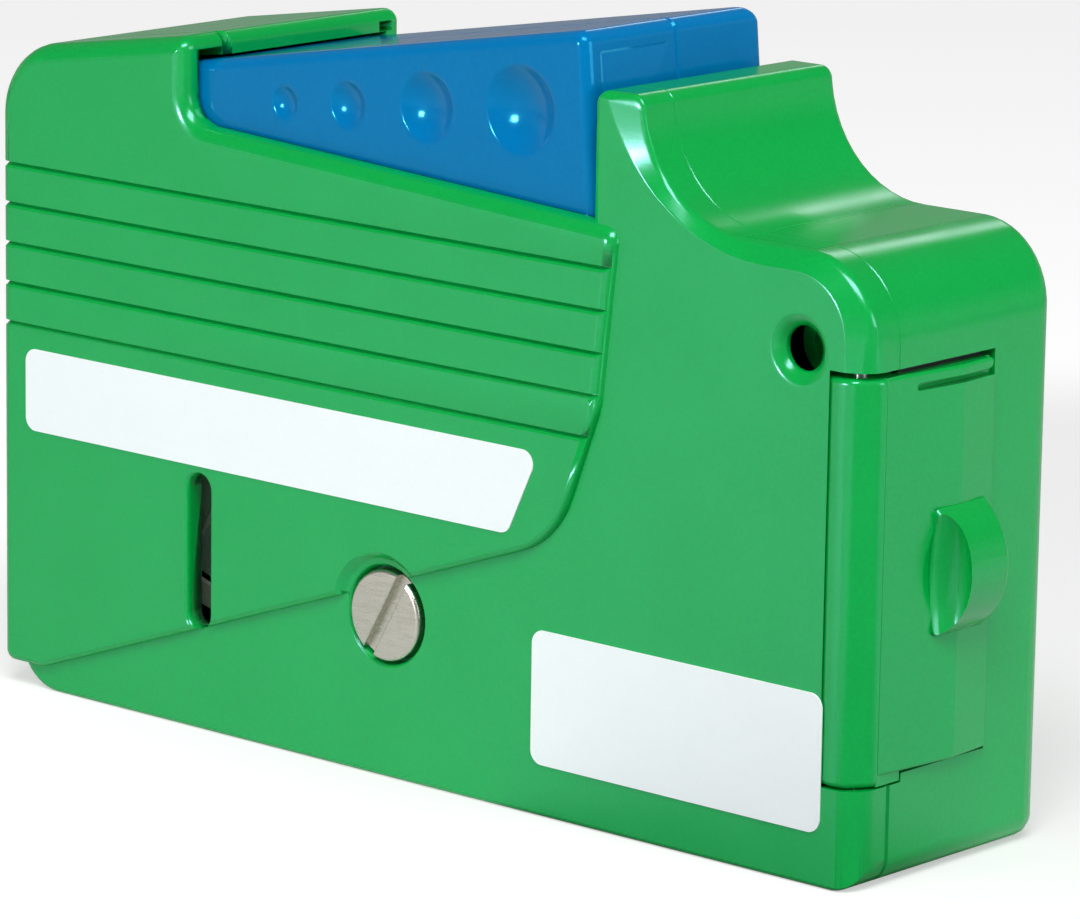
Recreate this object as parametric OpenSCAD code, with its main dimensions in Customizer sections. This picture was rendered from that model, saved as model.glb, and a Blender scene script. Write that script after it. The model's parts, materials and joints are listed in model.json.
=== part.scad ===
// Fibre optic connector cleaning cassette with a thumb lever, two tape reels and a hinged shutter.
// X runs from the grip end to the cleaning end, Y from the near face to the far face, Z up.
// The origin is on the base, below the middle of the body.

/* [Housing] */
// Length of the lower body
body_len = 126.5; // [124:0.5:130]
// Thickness of the lower body across its flat faces
body_t = 33; // [33:0.25:35]
// Height of the hump's crest
crest_h = 81; // [80:0.25:83]
// Height of the level shoulder above the cleaning end
shoulder_h = 67.4; // [67:0.1:68.5]
// How far the grip stands proud of the faces
grip_proud = 1; // [0.6:0.1:1.4]
// How far the grip stands proud of the left end
grip_end_proud = 1.5; // [1:0.1:2]
// Wall of the two broad faces
face_wall = 1.5; // [1.3:0.05:1.6]
// Wall round the outline
rim_wall = 1.8; // [1.6:0.05:2]
// Depth of the front cover behind the near face
cover_depth = 5.5; // [5.3:0.1:6]
// Radius of the edge along the hump and the top
soft_edge = 4; // [3:0.1:4.2]

/* [Grip] */
// Number of grooves in each grip
groove_n = 5; // [3:1:6]
// Width of a groove
groove_w = 0.9; // [0.6:0.1:1.2]
// Depth of a groove
groove_d = 0.5; // [0.3:0.05:0.6]
// Step from one groove to the next
groove_step = 4.68; // [4.2:0.05:4.8]

/* [Lever] */
// Width of the lever across its two halves
lever_w = 29.4; // [28.8:0.1:29.4]
// Wall of a lever half
lever_wall = 1.6; // [1.4:0.1:1.8]
// Angle through which the lever is pressed
lever_travel = 9; // [7:0.5:9]
// Diameter of the lever's pivot pin
pivot_d = 4; // [3.6:0.1:4.2]

/* [Drive] */
// Pitch diameter for each tooth of the sector and the pinion
tooth_size = 1; // [0.98:0.01:1.02]
// Teeth on a full circle of the sector
sector_teeth = 134; // [134:1:134]
// Teeth on the pinion
pinion_teeth = 20; // [20:1:20]
// Thickness of the toothed parts
gear_t = 2.2; // [1.8:0.1:2.4]
// Teeth on the ratchet wheel
ratchet_teeth = 24; // [24:1:24]
// Diameter of the take-up shaft
shaft_d = 4; // [3.6:0.1:4.2]

/* [Reels] */
// Width of the cleaning tape
tape_w = 11; // [10.6:0.1:11]
// Diameter of the supply reel's flanges
supply_d = 49; // [46:0.5:49]
// Diameter of the take-up reel's flanges
takeup_d = 42; // [38:0.5:42]
// Diameter of the new roll on the supply reel
roll_d = 43; // [40:0.5:44]
// Diameter of the first turns on the take-up reel
start_d = 22; // [21:0.5:24]

/* [Cleaning end] */
// Height of the door's knuckle
door_h = 43.7; // [42.5:0.1:44]
// Height of the knuckle's lower end above the base
door_z = 11.2; // [11:0.1:12]
// Radius of the door's knuckle
knuckle_r = 3.6; // [3.4:0.05:3.7]
// Thickness of the door's leaf
leaf_t = 1.4; // [1.2:0.1:1.5]
// Width of each cleaning slot
slot_w = 4.4; // [4.3:0.1:4.5]
// Height of the cleaning slots
slot_h = 22; // [20:0.5:24]

/* [Fittings] */
// Diameter of the coin screw's head
coin_d = 10.4; // [10:0.1:10.8]
// Diameter of the strap hole
strap_d = 4.8; // [4.4:0.1:5]
// Width of the view slot
view_w = 3.5; // [3:0.1:3.8]
// Height of the view slot
view_h = 18; // [16:0.5:18.5]

/* [Hidden] */

// Colours
case_green = [0.13, 0.66, 0.34];
lever_blue = [0.01, 0.48, 0.7];
acetal = [0.93, 0.93, 0.9];
dark_grey = [0.25, 0.26, 0.28];
steel = [0.75, 0.76, 0.78];
nickel = [0.76, 0.75, 0.7];
brass = [0.8, 0.66, 0.32];
paper_white = [0.95, 0.96, 0.97];

// Overrun of every cut, and the clearances
over = 0.5;
run_gap = 0.06;
seat_gap = 0.02;
free_gap = 0.3;

// Main places
left_x = -62.5;
right_x = left_x + body_len;
half_t = body_t/2;
grip_x = left_x - grip_end_proud;
near_y = -half_t;
part_y = near_y + cover_depth;
in_near = near_y + face_wall;
in_far = half_t - face_wall;

// Radii of the outline's corners
base_left_r = 6.5;
base_right_r = 3.2;
shoulder_r = 9.5;
sweep_share = 0.985;
sweep_r = (crest_h - shoulder_h)*sweep_share;
crest_r = 1.6;
grip_left_r = 1.6;
block_r = 7.5;
block_end_r = 1.5;
notch_r = 3.4;
grip_corner_r = 2;
grip_bend_r = 12;
hidden_r = 1;
// Radii of the upright edges and of the hump's far edge
right_edge = knuckle_r - 0.2;
left_edge = 1.3;
far_edge = soft_edge*0.45;

// Hump
crest_x = 32.6;
hump_x = 26.2;
hump_root_z = 62;
sweep_foot_x = 34.2;
hidden_top_z = 60;

// Block at the grip end and the notch for the lever
block_x = -33.2;
cover_step = 0.8;
block_top_z = 80.3;
block_corner_z = 75.6;
block_slope = (block_top_z - block_corner_z)/(block_x - grip_x);
notch_floor_z = 70.3;
notch_right_z = 67.3;
grip_low_z = 2.9;
grip_right = [30.5, 66.8];
grip_knee = [28.4, 47.5];
grip_heel = [22.4, 31.2];

// Corners of a rounded outline: place and radius
base_outline = [
    [left_x, 0, base_left_r],
    [right_x, 0, base_right_r],
    [right_x, shoulder_h, shoulder_r],
    [sweep_foot_x, shoulder_h, sweep_r],
    [crest_x, crest_h, crest_r],
    [hump_x, crest_h, crest_r],
    [hump_x, hump_root_z, hidden_r],
    [left_x, hidden_top_z, hidden_r]];
function grip_outline(end_x) = [
    [grip_x, grip_low_z, grip_left_r],
    [grip_x + base_left_r, grip_low_z, hidden_r],
    [grip_heel[0], grip_heel[1], grip_bend_r],
    [grip_knee[0], grip_knee[1], grip_bend_r],
    [grip_right[0], grip_right[1], grip_corner_r],
    [end_x, notch_floor_z, notch_r],
    [end_x, block_top_z - (block_x - end_x)*block_slope, block_end_r],
    [grip_x, block_corner_z, block_r]];

// Points round a rounded outline, set back by a distance, all by formula
arc_step = 7.5;
function unit(v) = v/norm(v);
function flat(list) = [for (part = list) for (item = part) item];
function corner(a, b, c, back) =
    let (d1 = unit([b[0] - a[0], b[1] - a[1]]), d2 = unit([c[0] - b[0], c[1] - b[1]]),
        ang = atan2(d1[0]*d2[1] - d1[1]*d2[0], d1*d2),
        side = ang > 0 ? 1 : -1, r = b[2], reach = r*tan(abs(ang)/2),
        start = [b[0], b[1]] - d1*reach, centre = start + side*r*[-d1[1], d1[0]],
        from = atan2(d1[1], d1[0]), steps = max(1, ceil(abs(ang)/arc_step)))
    [for (k = [0 : steps])
        let (t = from + ang*k/steps, n = [sin(t), -cos(t)])
        centre + (side*r - back)*n];
function rounded(path, back = 0) = let (n = len(path))
    flat([for (i = [0 : n - 1]) corner(path[(i + n - 1) % n], path[i], path[(i + 1) % n], back)]);

// Plan of a body with rounded upright corners at its left and right ends
module corner_cut(x, y, r, sx, sy) {
    translate([x, y])
        mirror([sx > 0 ? 0 : 1, 0])
            mirror([0, sy > 0 ? 0 : 1])
                difference() {
                    translate([-over, -over])
                        square(r + over);
                    translate([r, r])
                        circle(r = r, $fn = 64);
                }
}

module plan_figure(x0, x1, half, left_r, right_r) {
    difference() {
        translate([x0, -half])
            square([x1 - x0, 2*half]);
        for (s = [-1, 1]) {
            corner_cut(x0, s*half, left_r, 1, -s);
            corner_cut(x1, s*half, right_r, -1, -s);
        }
    }
}

// Shell bodies between a face and the parting plane
module base_body(y0, y1) {
    intersection() {
        along_y(y0, y1)
            polygon(rounded(base_outline));
        linear_extrude(2*crest_h)
            plan_figure(left_x, right_x, half_t, left_edge, right_edge);
        union() {
            block([grip_x, -body_t, 0], [right_x, body_t, shoulder_h]);
            translate([hump_x, 0, 0])
                rotate([90, 0, 90])
                    linear_extrude(right_x - hump_x)
                        plan_top(half_t, crest_h, soft_edge - 0.4, far_edge);
        }
    }
}

// Cross-section of the hump with its rounded top edges
module plan_top(half, top, near_r, far_r) {
    difference() {
        translate([-half, 0])
            square([2*half, top]);
        corner_cut(-half, top, near_r, 1, -1);
        corner_cut(half, top, far_r, -1, -1);
    }
}

module grip_body(y0, y1, end_x) {
    intersection() {
        along_y(y0, y1)
            polygon(rounded(grip_outline(end_x)));
        linear_extrude(2*crest_h)
            plan_figure(grip_x, right_x, half_t + grip_proud, left_edge, right_edge);
    }
}

// Prism along Y from y0 to y1 of a figure drawn in X and Z
module along_y(y0, y1) {
    translate([0, y1, 0])
        rotate([90, 0, 0])
            linear_extrude(y1 - y0)
                children();
}

// Round bar along Y
module bar_y(x, z, r, y0, y1, fn = 48) {
    translate([x, y0, z])
        rotate([-90, 0, 0])
            cylinder(r = r, h = y1 - y0, $fn = fn);
}

// Cone along Y
module cone_y(x, z, r0, r1, y0, y1) {
    translate([x, y0, z])
        rotate([-90, 0, 0])
            cylinder(r1 = r0, r2 = r1, h = y1 - y0, $fn = 48);
}

// Block from one corner to the other
module block(low, high) {
    translate(low)
        cube(high - low);
}

// Inner space of the housing
floor_z = rim_wall;
roof_reserve = 0.85;
roof_drop = rim_wall + roof_reserve;
bar_w = 2.4;
bar_foot_z = 64;
module inner_figure(back = 0) {
    in_left = left_x + rim_wall;
    in_right = right_x - rim_wall;
    soft = base_left_r - rim_wall;
    space = [
        [in_left, floor_z, soft],
        [in_right, floor_z, base_right_r - rim_wall],
        [in_right, shoulder_h - rim_wall, shoulder_r - rim_wall],
        [sweep_foot_x + rim_wall, shoulder_h - rim_wall, sweep_r - rim_wall],
        [crest_x - crest_r, crest_h - rim_wall, crest_r/2],
        [hump_x + rim_wall, crest_h - rim_wall, crest_r/2],
        [hump_x + rim_wall, bar_foot_z, crest_r/4],
        [hump_x - over, bar_foot_z, crest_r/4],
        [hump_x - over, block_top_z + block_r, crest_r/4],
        [block_x + over, block_top_z + block_r, crest_r/4],
        [block_x + over, block_top_z - roof_drop, crest_r/4],
        [in_left, block_top_z - roof_drop - (block_x + over - in_left)*block_slope, soft]];
    polygon(rounded(space, back));
}

// Places of the mechanism
pivot = [-46, 70];
gear_dist = tooth_size*(sector_teeth + pinion_teeth)/2;
takeup_z = 30;
takeup = [pivot[0] + sqrt(gear_dist*gear_dist - (pivot[1] - takeup_z)*(pivot[1] - takeup_z)), takeup_z];
supply = [-32, 36];
coin_angle = 206.57;
coin_reel_gap = 4.48;
coin_dist = takeup_d/2 + coin_reel_gap;
coin = takeup + coin_dist*[cos(coin_angle), sin(coin_angle)];
strap_inset = 9;
strap_drop = 10.3;
strap = [right_x - strap_inset, shoulder_h - strap_drop];
roller_r = 3;
roller_inset = 10.5;
roller_rise = 10.5;
roller_drop = 4;
roller_x = right_x - roller_inset;
guide_post = [2, 5.5];
post_r = 2;
tape_t = 0.35;

// Layers across the thickness
tape_y0 = -8.2;
tape_y1 = tape_y0 + tape_w;
flange_t = 0.8;
tape_side = 0.4;
reel_y0 = tape_y0 - tape_side - flange_t;
reel_y1 = tape_y1 + tape_side + flange_t;
plate_y0 = 4.6;
plate_t = 1.5;
plate_y1 = plate_y0 + plate_t;
ratchet_y0 = 6.7;
ratchet_t = 1.9;
pawl_flange_y0 = ratchet_y0 + ratchet_t + 0.3;
pawl_flange_t = 0.8;
gear_y0 = pawl_flange_y0 + pawl_flange_t;
gear_y1 = gear_y0 + gear_t;

// Door and its hinge at the near front corner
knuckle = [right_x - knuckle_r, near_y + knuckle_r];
door_top = door_z + door_h;
door_pin_d = 1.6;
pin_reach = 4.5;
socket_gap = 0.2;
leaf_edge_y = 4.9;
leaf_rise = 1.1;
leaf_z0 = door_z + leaf_rise;
leaf_z1 = door_top;
crown = 1;
crown_y = -1.2;
free_rise = 0.5;
door_gap = 0.3;
lid_gap = 0.65;
frame_gap = 0.2;

// Window frame and platen
leaf_in_x = right_x - leaf_t;
frame_x1 = leaf_in_x - frame_gap;
tape_front_x = roller_x + roller_r + free_gap + tape_t;
tape_frame_gap = 0.35;
frame_x0 = tape_front_x + tape_frame_gap;
frame_wall = 1.2;
frame_y0 = -8.9;
frame_y1 = 5.2;
frame_lip = 1;
frame_rise = 1.8;
frame_drop = 2.4;
tube_gap = 0.7;
frame_z0 = door_z + frame_rise;
frame_z1 = min(door_top - frame_drop, strap[1] - strap_d/2 - face_wall - tube_gap);
upper_roller = [roller_x, frame_z1 - roller_drop];
lower_roller = [roller_x, roller_rise];
slot_rib = 1.4;
slot_drop = 0.25;
slot_z0 = (frame_z0 + frame_z1 - slot_h)/2 - slot_drop;
slots_mid_y = tape_y0 + tape_w/2;

// Posts, screws and bosses
boss_r = 3.8;
insert_r = 2.8;
insert_len = 6;
coin_shank_r = 2;
coin_head_t = 2.2;
coin_slot_w = 1.6;
coin_slot_d = 1.1;
coin_slot_angle = 60;
coin_rise = 0.35;
counterbore_r = coin_d/2 + 0.3;
cover_boss_r = counterbore_r + 1.4;
retainer_t = 0.8;
retainer_r = 3.6;
post_drop = 12.9;
post_reel_gap = 8.4;
post_dist = takeup_d/2 + post_reel_gap;
post_z = shoulder_h - post_drop;
post_x = takeup[0] + sqrt(post_dist*post_dist - (post_z - takeup_z)*(post_z - takeup_z));
screw_posts = [[-56.6, 8.2], [-9, 52], [46, 8.6], [post_x, post_z]];
post_wall_r = 2.8;
screw_r = 1.1;
screw_head_r = 2.2;
screw_head_t = 1.2;
screw_len = 6;
bearing_r = 4;
bearing_y = gear_y1 + 0.4;

// Fastener places follow the walls of the case
plate_low_z = floor_z + 1;

// Housing
module grooves(face_y, side) {
    groove_top = 62;
    for (i = [0 : groove_n - 1]) {
        z = groove_top - i*groove_step;
        slope = (grip_right[0] - grip_knee[0])/(grip_right[1] - grip_knee[1]);
        x1 = grip_right[0] + over - (grip_right[1] - z)*slope;
        y0 = side > 0 ? face_y - over : face_y - groove_d;
        translate([grip_x - over, y0, z - groove_w/2])
            cube([x1 - grip_x + over, groove_d + over, groove_w]);
    }
    for (i = [0 : groove_n - 1]) {
        z = groove_top - i*groove_step;
        y0 = side > 0 ? face_y - over : part_y - over;
        y1 = side > 0 ? part_y + over : face_y + over;
        translate([grip_x - over, y0, z - groove_w/2])
            cube([groove_d + over, y1 - y0, groove_w]);
    }
}

module window_cut() {
    block([right_x - rim_wall - over, part_y - over, leaf_z0 - door_gap],
        [right_x + over, leaf_edge_y + door_gap, leaf_z1 + lid_gap]);
    block([right_x - 2*knuckle_r - socket_gap, part_y - over, door_z - socket_gap],
        [right_x + over, frame_y0, door_top + lid_gap]);
}

module rear_case() {
    color(case_green)
    difference() {
        union() {
            difference() {
                union() {
                    base_body(part_y, half_t);
                    grip_body(part_y, half_t + grip_proud, block_x);
                }
                along_y(part_y - over, in_far)
                    inner_figure();
                window_cut();
                grooves(half_t + grip_proud, -1);
            }
            bar_y(strap[0], strap[1], strap_d/2 + face_wall, part_y, half_t - over);
            bar_y(coin[0], coin[1], boss_r, part_y + free_gap, half_t - over);
            for (p = screw_posts)
                bar_y(p[0], p[1], post_wall_r, plate_y1, half_t - over);
            bar_y(takeup[0], takeup[1], bearing_r, bearing_y, half_t - over);
            bar_y(pivot[0], pivot[1], bearing_r, lever_w/2 + free_gap/2, half_t - over);
            spring_shelf();
        }
        bar_y(strap[0], strap[1], strap_d/2, part_y - over, half_t + over);
        cone_y(strap[0], strap[1], strap_d/2, strap_d/2 + dish_r, half_t - dish_d, half_t + dish_d/4);
        bar_y(coin[0], coin[1], insert_r + seat_gap, part_y, part_y + free_gap + insert_len);
        bar_y(coin[0], coin[1], coin_shank_r + free_gap, part_y, plate_y1 + insert_len);
        for (p = screw_posts)
            bar_y(p[0], p[1], screw_r + seat_gap, plate_y1 - over, plate_y1 + screw_len);
        bar_y(takeup[0], takeup[1], shaft_d/2 + run_gap, bearing_y - over, in_far);
        bar_y(pivot[0], pivot[1], pivot_d/2 + seat_gap, lever_w/2, half_t - face_wall/2);
        knuckle_socket();
        parting_notch();
        core_hole();
    }
}

module knuckle_socket() {
    translate([knuckle[0], knuckle[1], door_z - socket_gap])
        cylinder(r = knuckle_r + socket_gap, h = door_h + socket_gap + lid_gap, $fn = 64);
}

// Dished rim of the strap hole
dish_r = 1.6;
dish_d = 1;

// Small square core hole in the far ear of the block
core_w = 2.1;
core_h = 1.2;
core_depth = 3;
core_drop = 1.5;
core_inset = 0.6;
module core_hole() {
    y1 = half_t - core_inset;
    z1 = block_top_z - core_drop;
    block([block_x - core_depth, y1 - core_w, z1 - core_h], [block_x + over, y1, z1]);
}

// Notch where the two shells meet on the end of the block
notch_half = 0.8;
notch_depth = 1;
module parting_notch() {
    translate([0, 0, notch_floor_z + notch_r])
        linear_extrude(crest_h - notch_floor_z)
            polygon([
                [block_x + over, part_y - notch_half],
                [block_x + over, part_y + notch_half],
                [block_x - notch_depth, part_y]]);
}

// Relief under the cover's part of the roof, over the lever
relief_len = 6;
relief_drop = 1.9;
module roof_relief() {
    z1 = block_top_z - relief_drop;
    block([block_x - relief_len, in_near, z1 - relief_drop], [block_x + over, part_y + over, z1]);
}

// Shelf that carries the lever's spring
spring_x = -15;
spring_y = 10;
spring_z0 = 46;
spring_z1 = 65;
spring_r = 3;
wire_r = 0.4;
shelf_w = 9;
shelf_t = 2;
peg_r = 2;
peg_h = 3;
module spring_shelf() {
    block([spring_x - shelf_w/2, plate_y1 + free_gap, spring_z0 - shelf_t],
        [spring_x + shelf_w/2, half_t - over, spring_z0]);
    translate([spring_x, spring_y, spring_z0 - over])
        cylinder(r = peg_r, h = peg_h + over, $fn = 32);
}

module front_cover() {
    view_x = -31.5;
    view_z = 21.2;
    color(case_green)
    difference() {
        union() {
            difference() {
                union() {
                    base_body(near_y, part_y);
                    grip_body(near_y - grip_proud, part_y, block_x - cover_step);
                }
                intersection() {
                    along_y(in_near, part_y + over)
                        inner_figure();
                    block([grip_x, in_near, 0], [right_x - 2*knuckle_r - frame_wall, part_y + over, crest_h + over]);
                }
                grooves(near_y - grip_proud, 1);
            }
            bar_y(coin[0], coin[1], cover_boss_r, near_y + face_wall/2, part_y - retainer_t - free_gap);
        }
        block([right_x - 2*knuckle_r - socket_gap, part_y - knuckle_r, door_z - socket_gap],
            [right_x + over, part_y + over, door_top + lid_gap]);
        knuckle_socket();
        block([knuckle[0], near_y - over, door_z - socket_gap],
            [right_x + over, part_y + over, door_top + lid_gap]);
        translate([knuckle[0], knuckle[1], door_z - pin_reach])
            cylinder(d = door_pin_d + 2*seat_gap, h = door_h + 2*pin_reach, $fn = 32);
        parting_notch();
        roof_relief();
        bar_y(coin[0], coin[1], counterbore_r, near_y - grip_proud - over, near_y + coin_head_t);
        bar_y(coin[0], coin[1], coin_shank_r + run_gap, near_y, part_y + over);
        bar_y(strap[0], strap[1], strap_d/2, near_y - over, part_y + over);
        cone_y(strap[0], strap[1], strap_d/2 + dish_r, strap_d/2, near_y - dish_d/4, near_y + dish_d);
        along_y(near_y - grip_proud - over, in_near + over)
            stadium(view_x, view_z, view_w, view_h);
    }
}

module stadium(x, z, w, h) {
    translate([x - w/2, z - h/2 + w/2])
        square([w, h - w]);
    for (s = [-1, 1])
        translate([x, z + s*(h - w)/2])
            circle(d = w, $fn = 32);
}

// Door with its knuckle, crowned leaf, bead and finger tab
bead_h = 1.15;
bead_gap = 0.85;
bead_inset = 0.7;
bead_floor = leaf_t/3;
tab_h = 13.8;
tab_w = 8.5;
tab_rise = 3.5;
tab_y0 = -5.4;
tab_z = 33.1;
scoop_r = 6;
scoop_reach = 4.1;
scoop_rise = 0.9;
dish_ball = 33;
dish_floor = 1.06;
crown_share = 0.92;
module leaf_figure(y1) {
    polygon([
        [leaf_in_x, knuckle[1]],
        [right_x, knuckle[1]],
        [right_x + crown*crown_share, crown_y - crown],
        [right_x + crown, crown_y],
        [right_x + free_rise, y1],
        [leaf_in_x, y1]]);
}

module shutter_door() {
    tab_r = (tab_h*tab_h/4 + tab_rise*tab_rise)/(2*tab_rise);
    color(case_green)
    difference() {
        union() {
            translate([knuckle[0], knuckle[1], door_z])
                cylinder(r = knuckle_r, h = door_h, $fn = 64);
            block([leaf_in_x, knuckle[1], door_z],
                [right_x, frame_y0 - frame_gap, door_top]);
            difference() {
                translate([0, 0, leaf_z0])
                    linear_extrude(leaf_z1 - leaf_z0)
                        leaf_figure(leaf_edge_y);
                translate([leaf_in_x + dish_floor + dish_ball, tab_y0 + tab_w/2, tab_z])
                    sphere(r = dish_ball, $fn = 96);
            }
            difference() {
                intersection() {
                    bar_y(right_x + crown + tab_rise - tab_r, tab_z, tab_r, tab_y0, tab_y0 + tab_w, 96);
                    block([leaf_in_x, tab_y0, tab_z - tab_h/2],
                        [right_x + crown + tab_rise, tab_y0 + tab_w, tab_z + tab_h/2]);
                }
                translate([right_x + crown + tab_rise, tab_y0 - scoop_reach, tab_z + scoop_rise])
                    sphere(r = scoop_r, $fn = 64);
            }
        }
        translate([knuckle[0], knuckle[1], door_z - over])
            cylinder(d = door_pin_d + 2*run_gap, h = door_h + 2*over, $fn = 32);
        block([right_x - bead_floor, frame_y0 + over, leaf_z1 - bead_h - bead_gap],
            [right_x + 2*crown, leaf_edge_y - bead_inset, leaf_z1 - bead_h]);
        block([right_x - bead_floor, leaf_edge_y - bead_inset, leaf_z1 - bead_h - bead_gap],
            [right_x + 2*crown, leaf_edge_y + over, leaf_z1 + over]);
    }
}

module door_hinge_pin() {
    reach = pin_reach - seat_gap;
    color(steel)
    translate([knuckle[0], knuckle[1], door_z - reach])
        cylinder(d = door_pin_d, h = door_h + 2*reach, $fn = 32);
}

// Plate with the two cleaning slots and the collar round them
module window_frame() {
    color(dark_grey)
    difference() {
        union() {
            block([frame_x0, frame_y0, frame_z0], [frame_x1, frame_y1, frame_z1]);
            intersection() {
                block([right_x - rim_wall - frame_lip, frame_y0, leaf_z0 - frame_wall],
                    [right_x, leaf_edge_y + 2*frame_wall, leaf_z1 + frame_wall]);
                along_y(in_near, in_far)
                    inner_figure(seat_gap);
            }
        }
        bar_y(strap[0], strap[1], strap_d/2 + face_wall + seat_gap, frame_y0 - over, leaf_edge_y + 3*frame_wall);
        for (s = [-1, 1])
            block([frame_x0 - over, slots_mid_y + s*(slot_w + slot_rib)/2 - slot_w/2, slot_z0],
                [frame_x0 + frame_wall + over, slots_mid_y + s*(slot_w + slot_rib)/2 + slot_w/2, slot_z0 + slot_h]);
        block([frame_x0 + frame_wall, slots_mid_y - slot_w - slot_rib/2, slot_z0 - frame_wall],
            [frame_x1 + over, slots_mid_y + slot_w + slot_rib/2, slot_z0 + slot_h + frame_wall]);
    }
}

// Coin screw with its wide slot, and what holds it
module coin_screw() {
    y0 = near_y - coin_rise;
    shank_end = part_y + insert_len + 2;
    color(nickel)
    difference() {
        union() {
            bar_y(coin[0], coin[1], coin_d/2, y0, near_y + coin_head_t - seat_gap, 64);
            bar_y(coin[0], coin[1], coin_shank_r, near_y, shank_end);
        }
        translate([coin[0], y0, coin[1]])
            rotate([0, -coin_slot_angle, 0])
                translate([-coin_d, -over, -coin_slot_w/2])
                    cube([2*coin_d, over + coin_slot_d, coin_slot_w]);
        difference() {
            bar_y(coin[0], coin[1], retainer_r, part_y - retainer_t - free_gap, part_y - free_gap);
            bar_y(coin[0], coin[1], coin_shank_r*0.8, near_y, shank_end);
        }
    }
}

module screw_retainer() {
    color(dark_grey)
    difference() {
        bar_y(coin[0], coin[1], retainer_r, part_y - retainer_t - free_gap + seat_gap, part_y - free_gap - seat_gap);
        bar_y(coin[0], coin[1], coin_shank_r*0.8 + seat_gap, near_y, part_y);
        block([coin[0] - coin_shank_r*0.7, near_y, coin[1]],
            [coin[0] + coin_shank_r*0.7, part_y, coin[1] + retainer_r + over]);
    }
}

module threaded_insert() {
    y0 = part_y + free_gap;
    rib_n = 12;
    color(brass)
    difference() {
        union() {
            bar_y(coin[0], coin[1], insert_r - 2*seat_gap, y0, y0 + insert_len);
            for (y = [y0, y0 + insert_len*2/3])
                bar_y(coin[0], coin[1], insert_r, y, y + insert_len/3);
        }
        bar_y(coin[0], coin[1], coin_shank_r + run_gap, y0 - over, y0 + insert_len + over);
    }
}

// Plate that carries the reels, the guides and the platen
plate_drop = 7.6;
module mechanism_plate() {
    plate_r = 3;
    top_z = shoulder_h - rim_wall - plate_drop;
    dip_z = top_z - 2*plate_r;
    dip_x = crest_x - 8*plate_r;
    left = -59.5;
    right = roller_x - roller_r/2;
    outline = [
        [left, plate_low_z + plate_r, plate_r],
        [right, plate_low_z + plate_r, plate_r],
        [right, top_z, plate_r],
        [crest_x - plate_r, top_z, plate_r],
        [crest_x - plate_r, dip_z, plate_r],
        [dip_x, dip_z, plate_r],
        [dip_x - plate_r, top_z - plate_r, plate_r],
        [left, top_z - plate_r, plate_r]];
    color(dark_grey)
    difference() {
        union() {
            along_y(plate_y0, plate_y1)
                polygon(rounded(outline));
            bar_y(guide_post[0], guide_post[1], post_r, tape_y0 - tape_side, plate_y0 + plate_t/2);
            bar_y(guide_post[0], guide_post[1], post_r + 1, tape_y1 + tape_side, plate_y0 + plate_t/2);
            for (p = [upper_roller, lower_roller])
                bar_y(p[0], p[1], roller_r*0.9, tape_y1 + 2*tape_side, plate_y1);
            bar_y(stop_post[0], stop_post[1], stop_post_r, plate_y0 + plate_t/2, ratchet_y0 + ratchet_t);
        }
        bar_y(coin[0], coin[1], boss_r + free_gap, plate_y0 - over, plate_y1 + over);
        bar_y(strap[0], strap[1], strap_d/2 + face_wall + free_gap, plate_y0 - over, plate_y1 + over);
        bar_y(takeup[0], takeup[1], shaft_d/2 + run_gap, plate_y0 - over, plate_y1 + over);
        bar_y(supply[0], supply[1], spindle_r + seat_gap, plate_y0 - over, plate_y1 + over);
        for (p = screw_posts)
            bar_y(p[0], p[1], screw_r + free_gap/2, plate_y0 - over, plate_y1 + over);
        for (p = [upper_roller, lower_roller])
            bar_y(p[0], p[1], roller_pin_r + seat_gap, tape_y0, plate_y1 + over);
        for (s = [-1, 1])
            bar_y(carrier_x + carrier_t/2, platen_mid_z + s*peg_dist, carrier_peg_r + seat_gap, plate_y0 - over, plate_y1 + over);
    }
}

module plate_screws() {
    color(steel)
    for (p = screw_posts)
        difference() {
            union() {
                bar_y(p[0], p[1], screw_head_r, plate_y0 - screw_head_t, plate_y0, 32);
                bar_y(p[0], p[1], screw_r, plate_y0, plate_y1 + screw_len - over, 32);
            }
            for (turn = [0, 90])
                translate([p[0], plate_y0 - screw_head_t, p[1]])
                    rotate([0, turn, 0])
                        block([-screw_head_r*0.6, -over, -screw_r*0.2], [screw_head_r*0.6, screw_head_t/2, screw_r*0.2]);
        }
}

// Lever in two halves that turn on the pivot pin
lever_top_angle = 9.77;
lever_end = [23.3, 86.8];
lever_end_foot = [25.4, 64.2];
lever_boss_r = 5;
lever_skirt = [-31, 65.4];
lever_tip_r = 1.2;
lever_side_r = 0.3;
lever_side_inset = 0.4;
lever_root_r = 6;
dimple_n = 4;
dimple_places = [[-20.8, 73.9], [-11.2, 74.8], [0.6, 75.9], [14.3, 77.2]];
dimple_radii = [1.9, 2.6, 3.9, 4.9];
dimple_depth_share = 0.17;
dimple_back = 0.9;
module lever_figure(back) {
    tangent = [pivot[0] - lever_boss_r*sin(lever_top_angle), pivot[1] + lever_boss_r*cos(lever_top_angle)];
    outline = [
        [pivot[0] - lever_boss_r*0.9, pivot[1] - lever_boss_r*0.8, lever_boss_r*0.8],
        [lever_skirt[0], lever_skirt[1], lever_root_r],
        [lever_end_foot[0], lever_end_foot[1], lever_tip_r],
        [lever_end[0], lever_end[1], lever_tip_r],
        [tangent[0] - lever_boss_r*0.8, tangent[1] - lever_boss_r*0.13, lever_boss_r*0.8]];
    polygon(rounded(outline, back));
}

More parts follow.
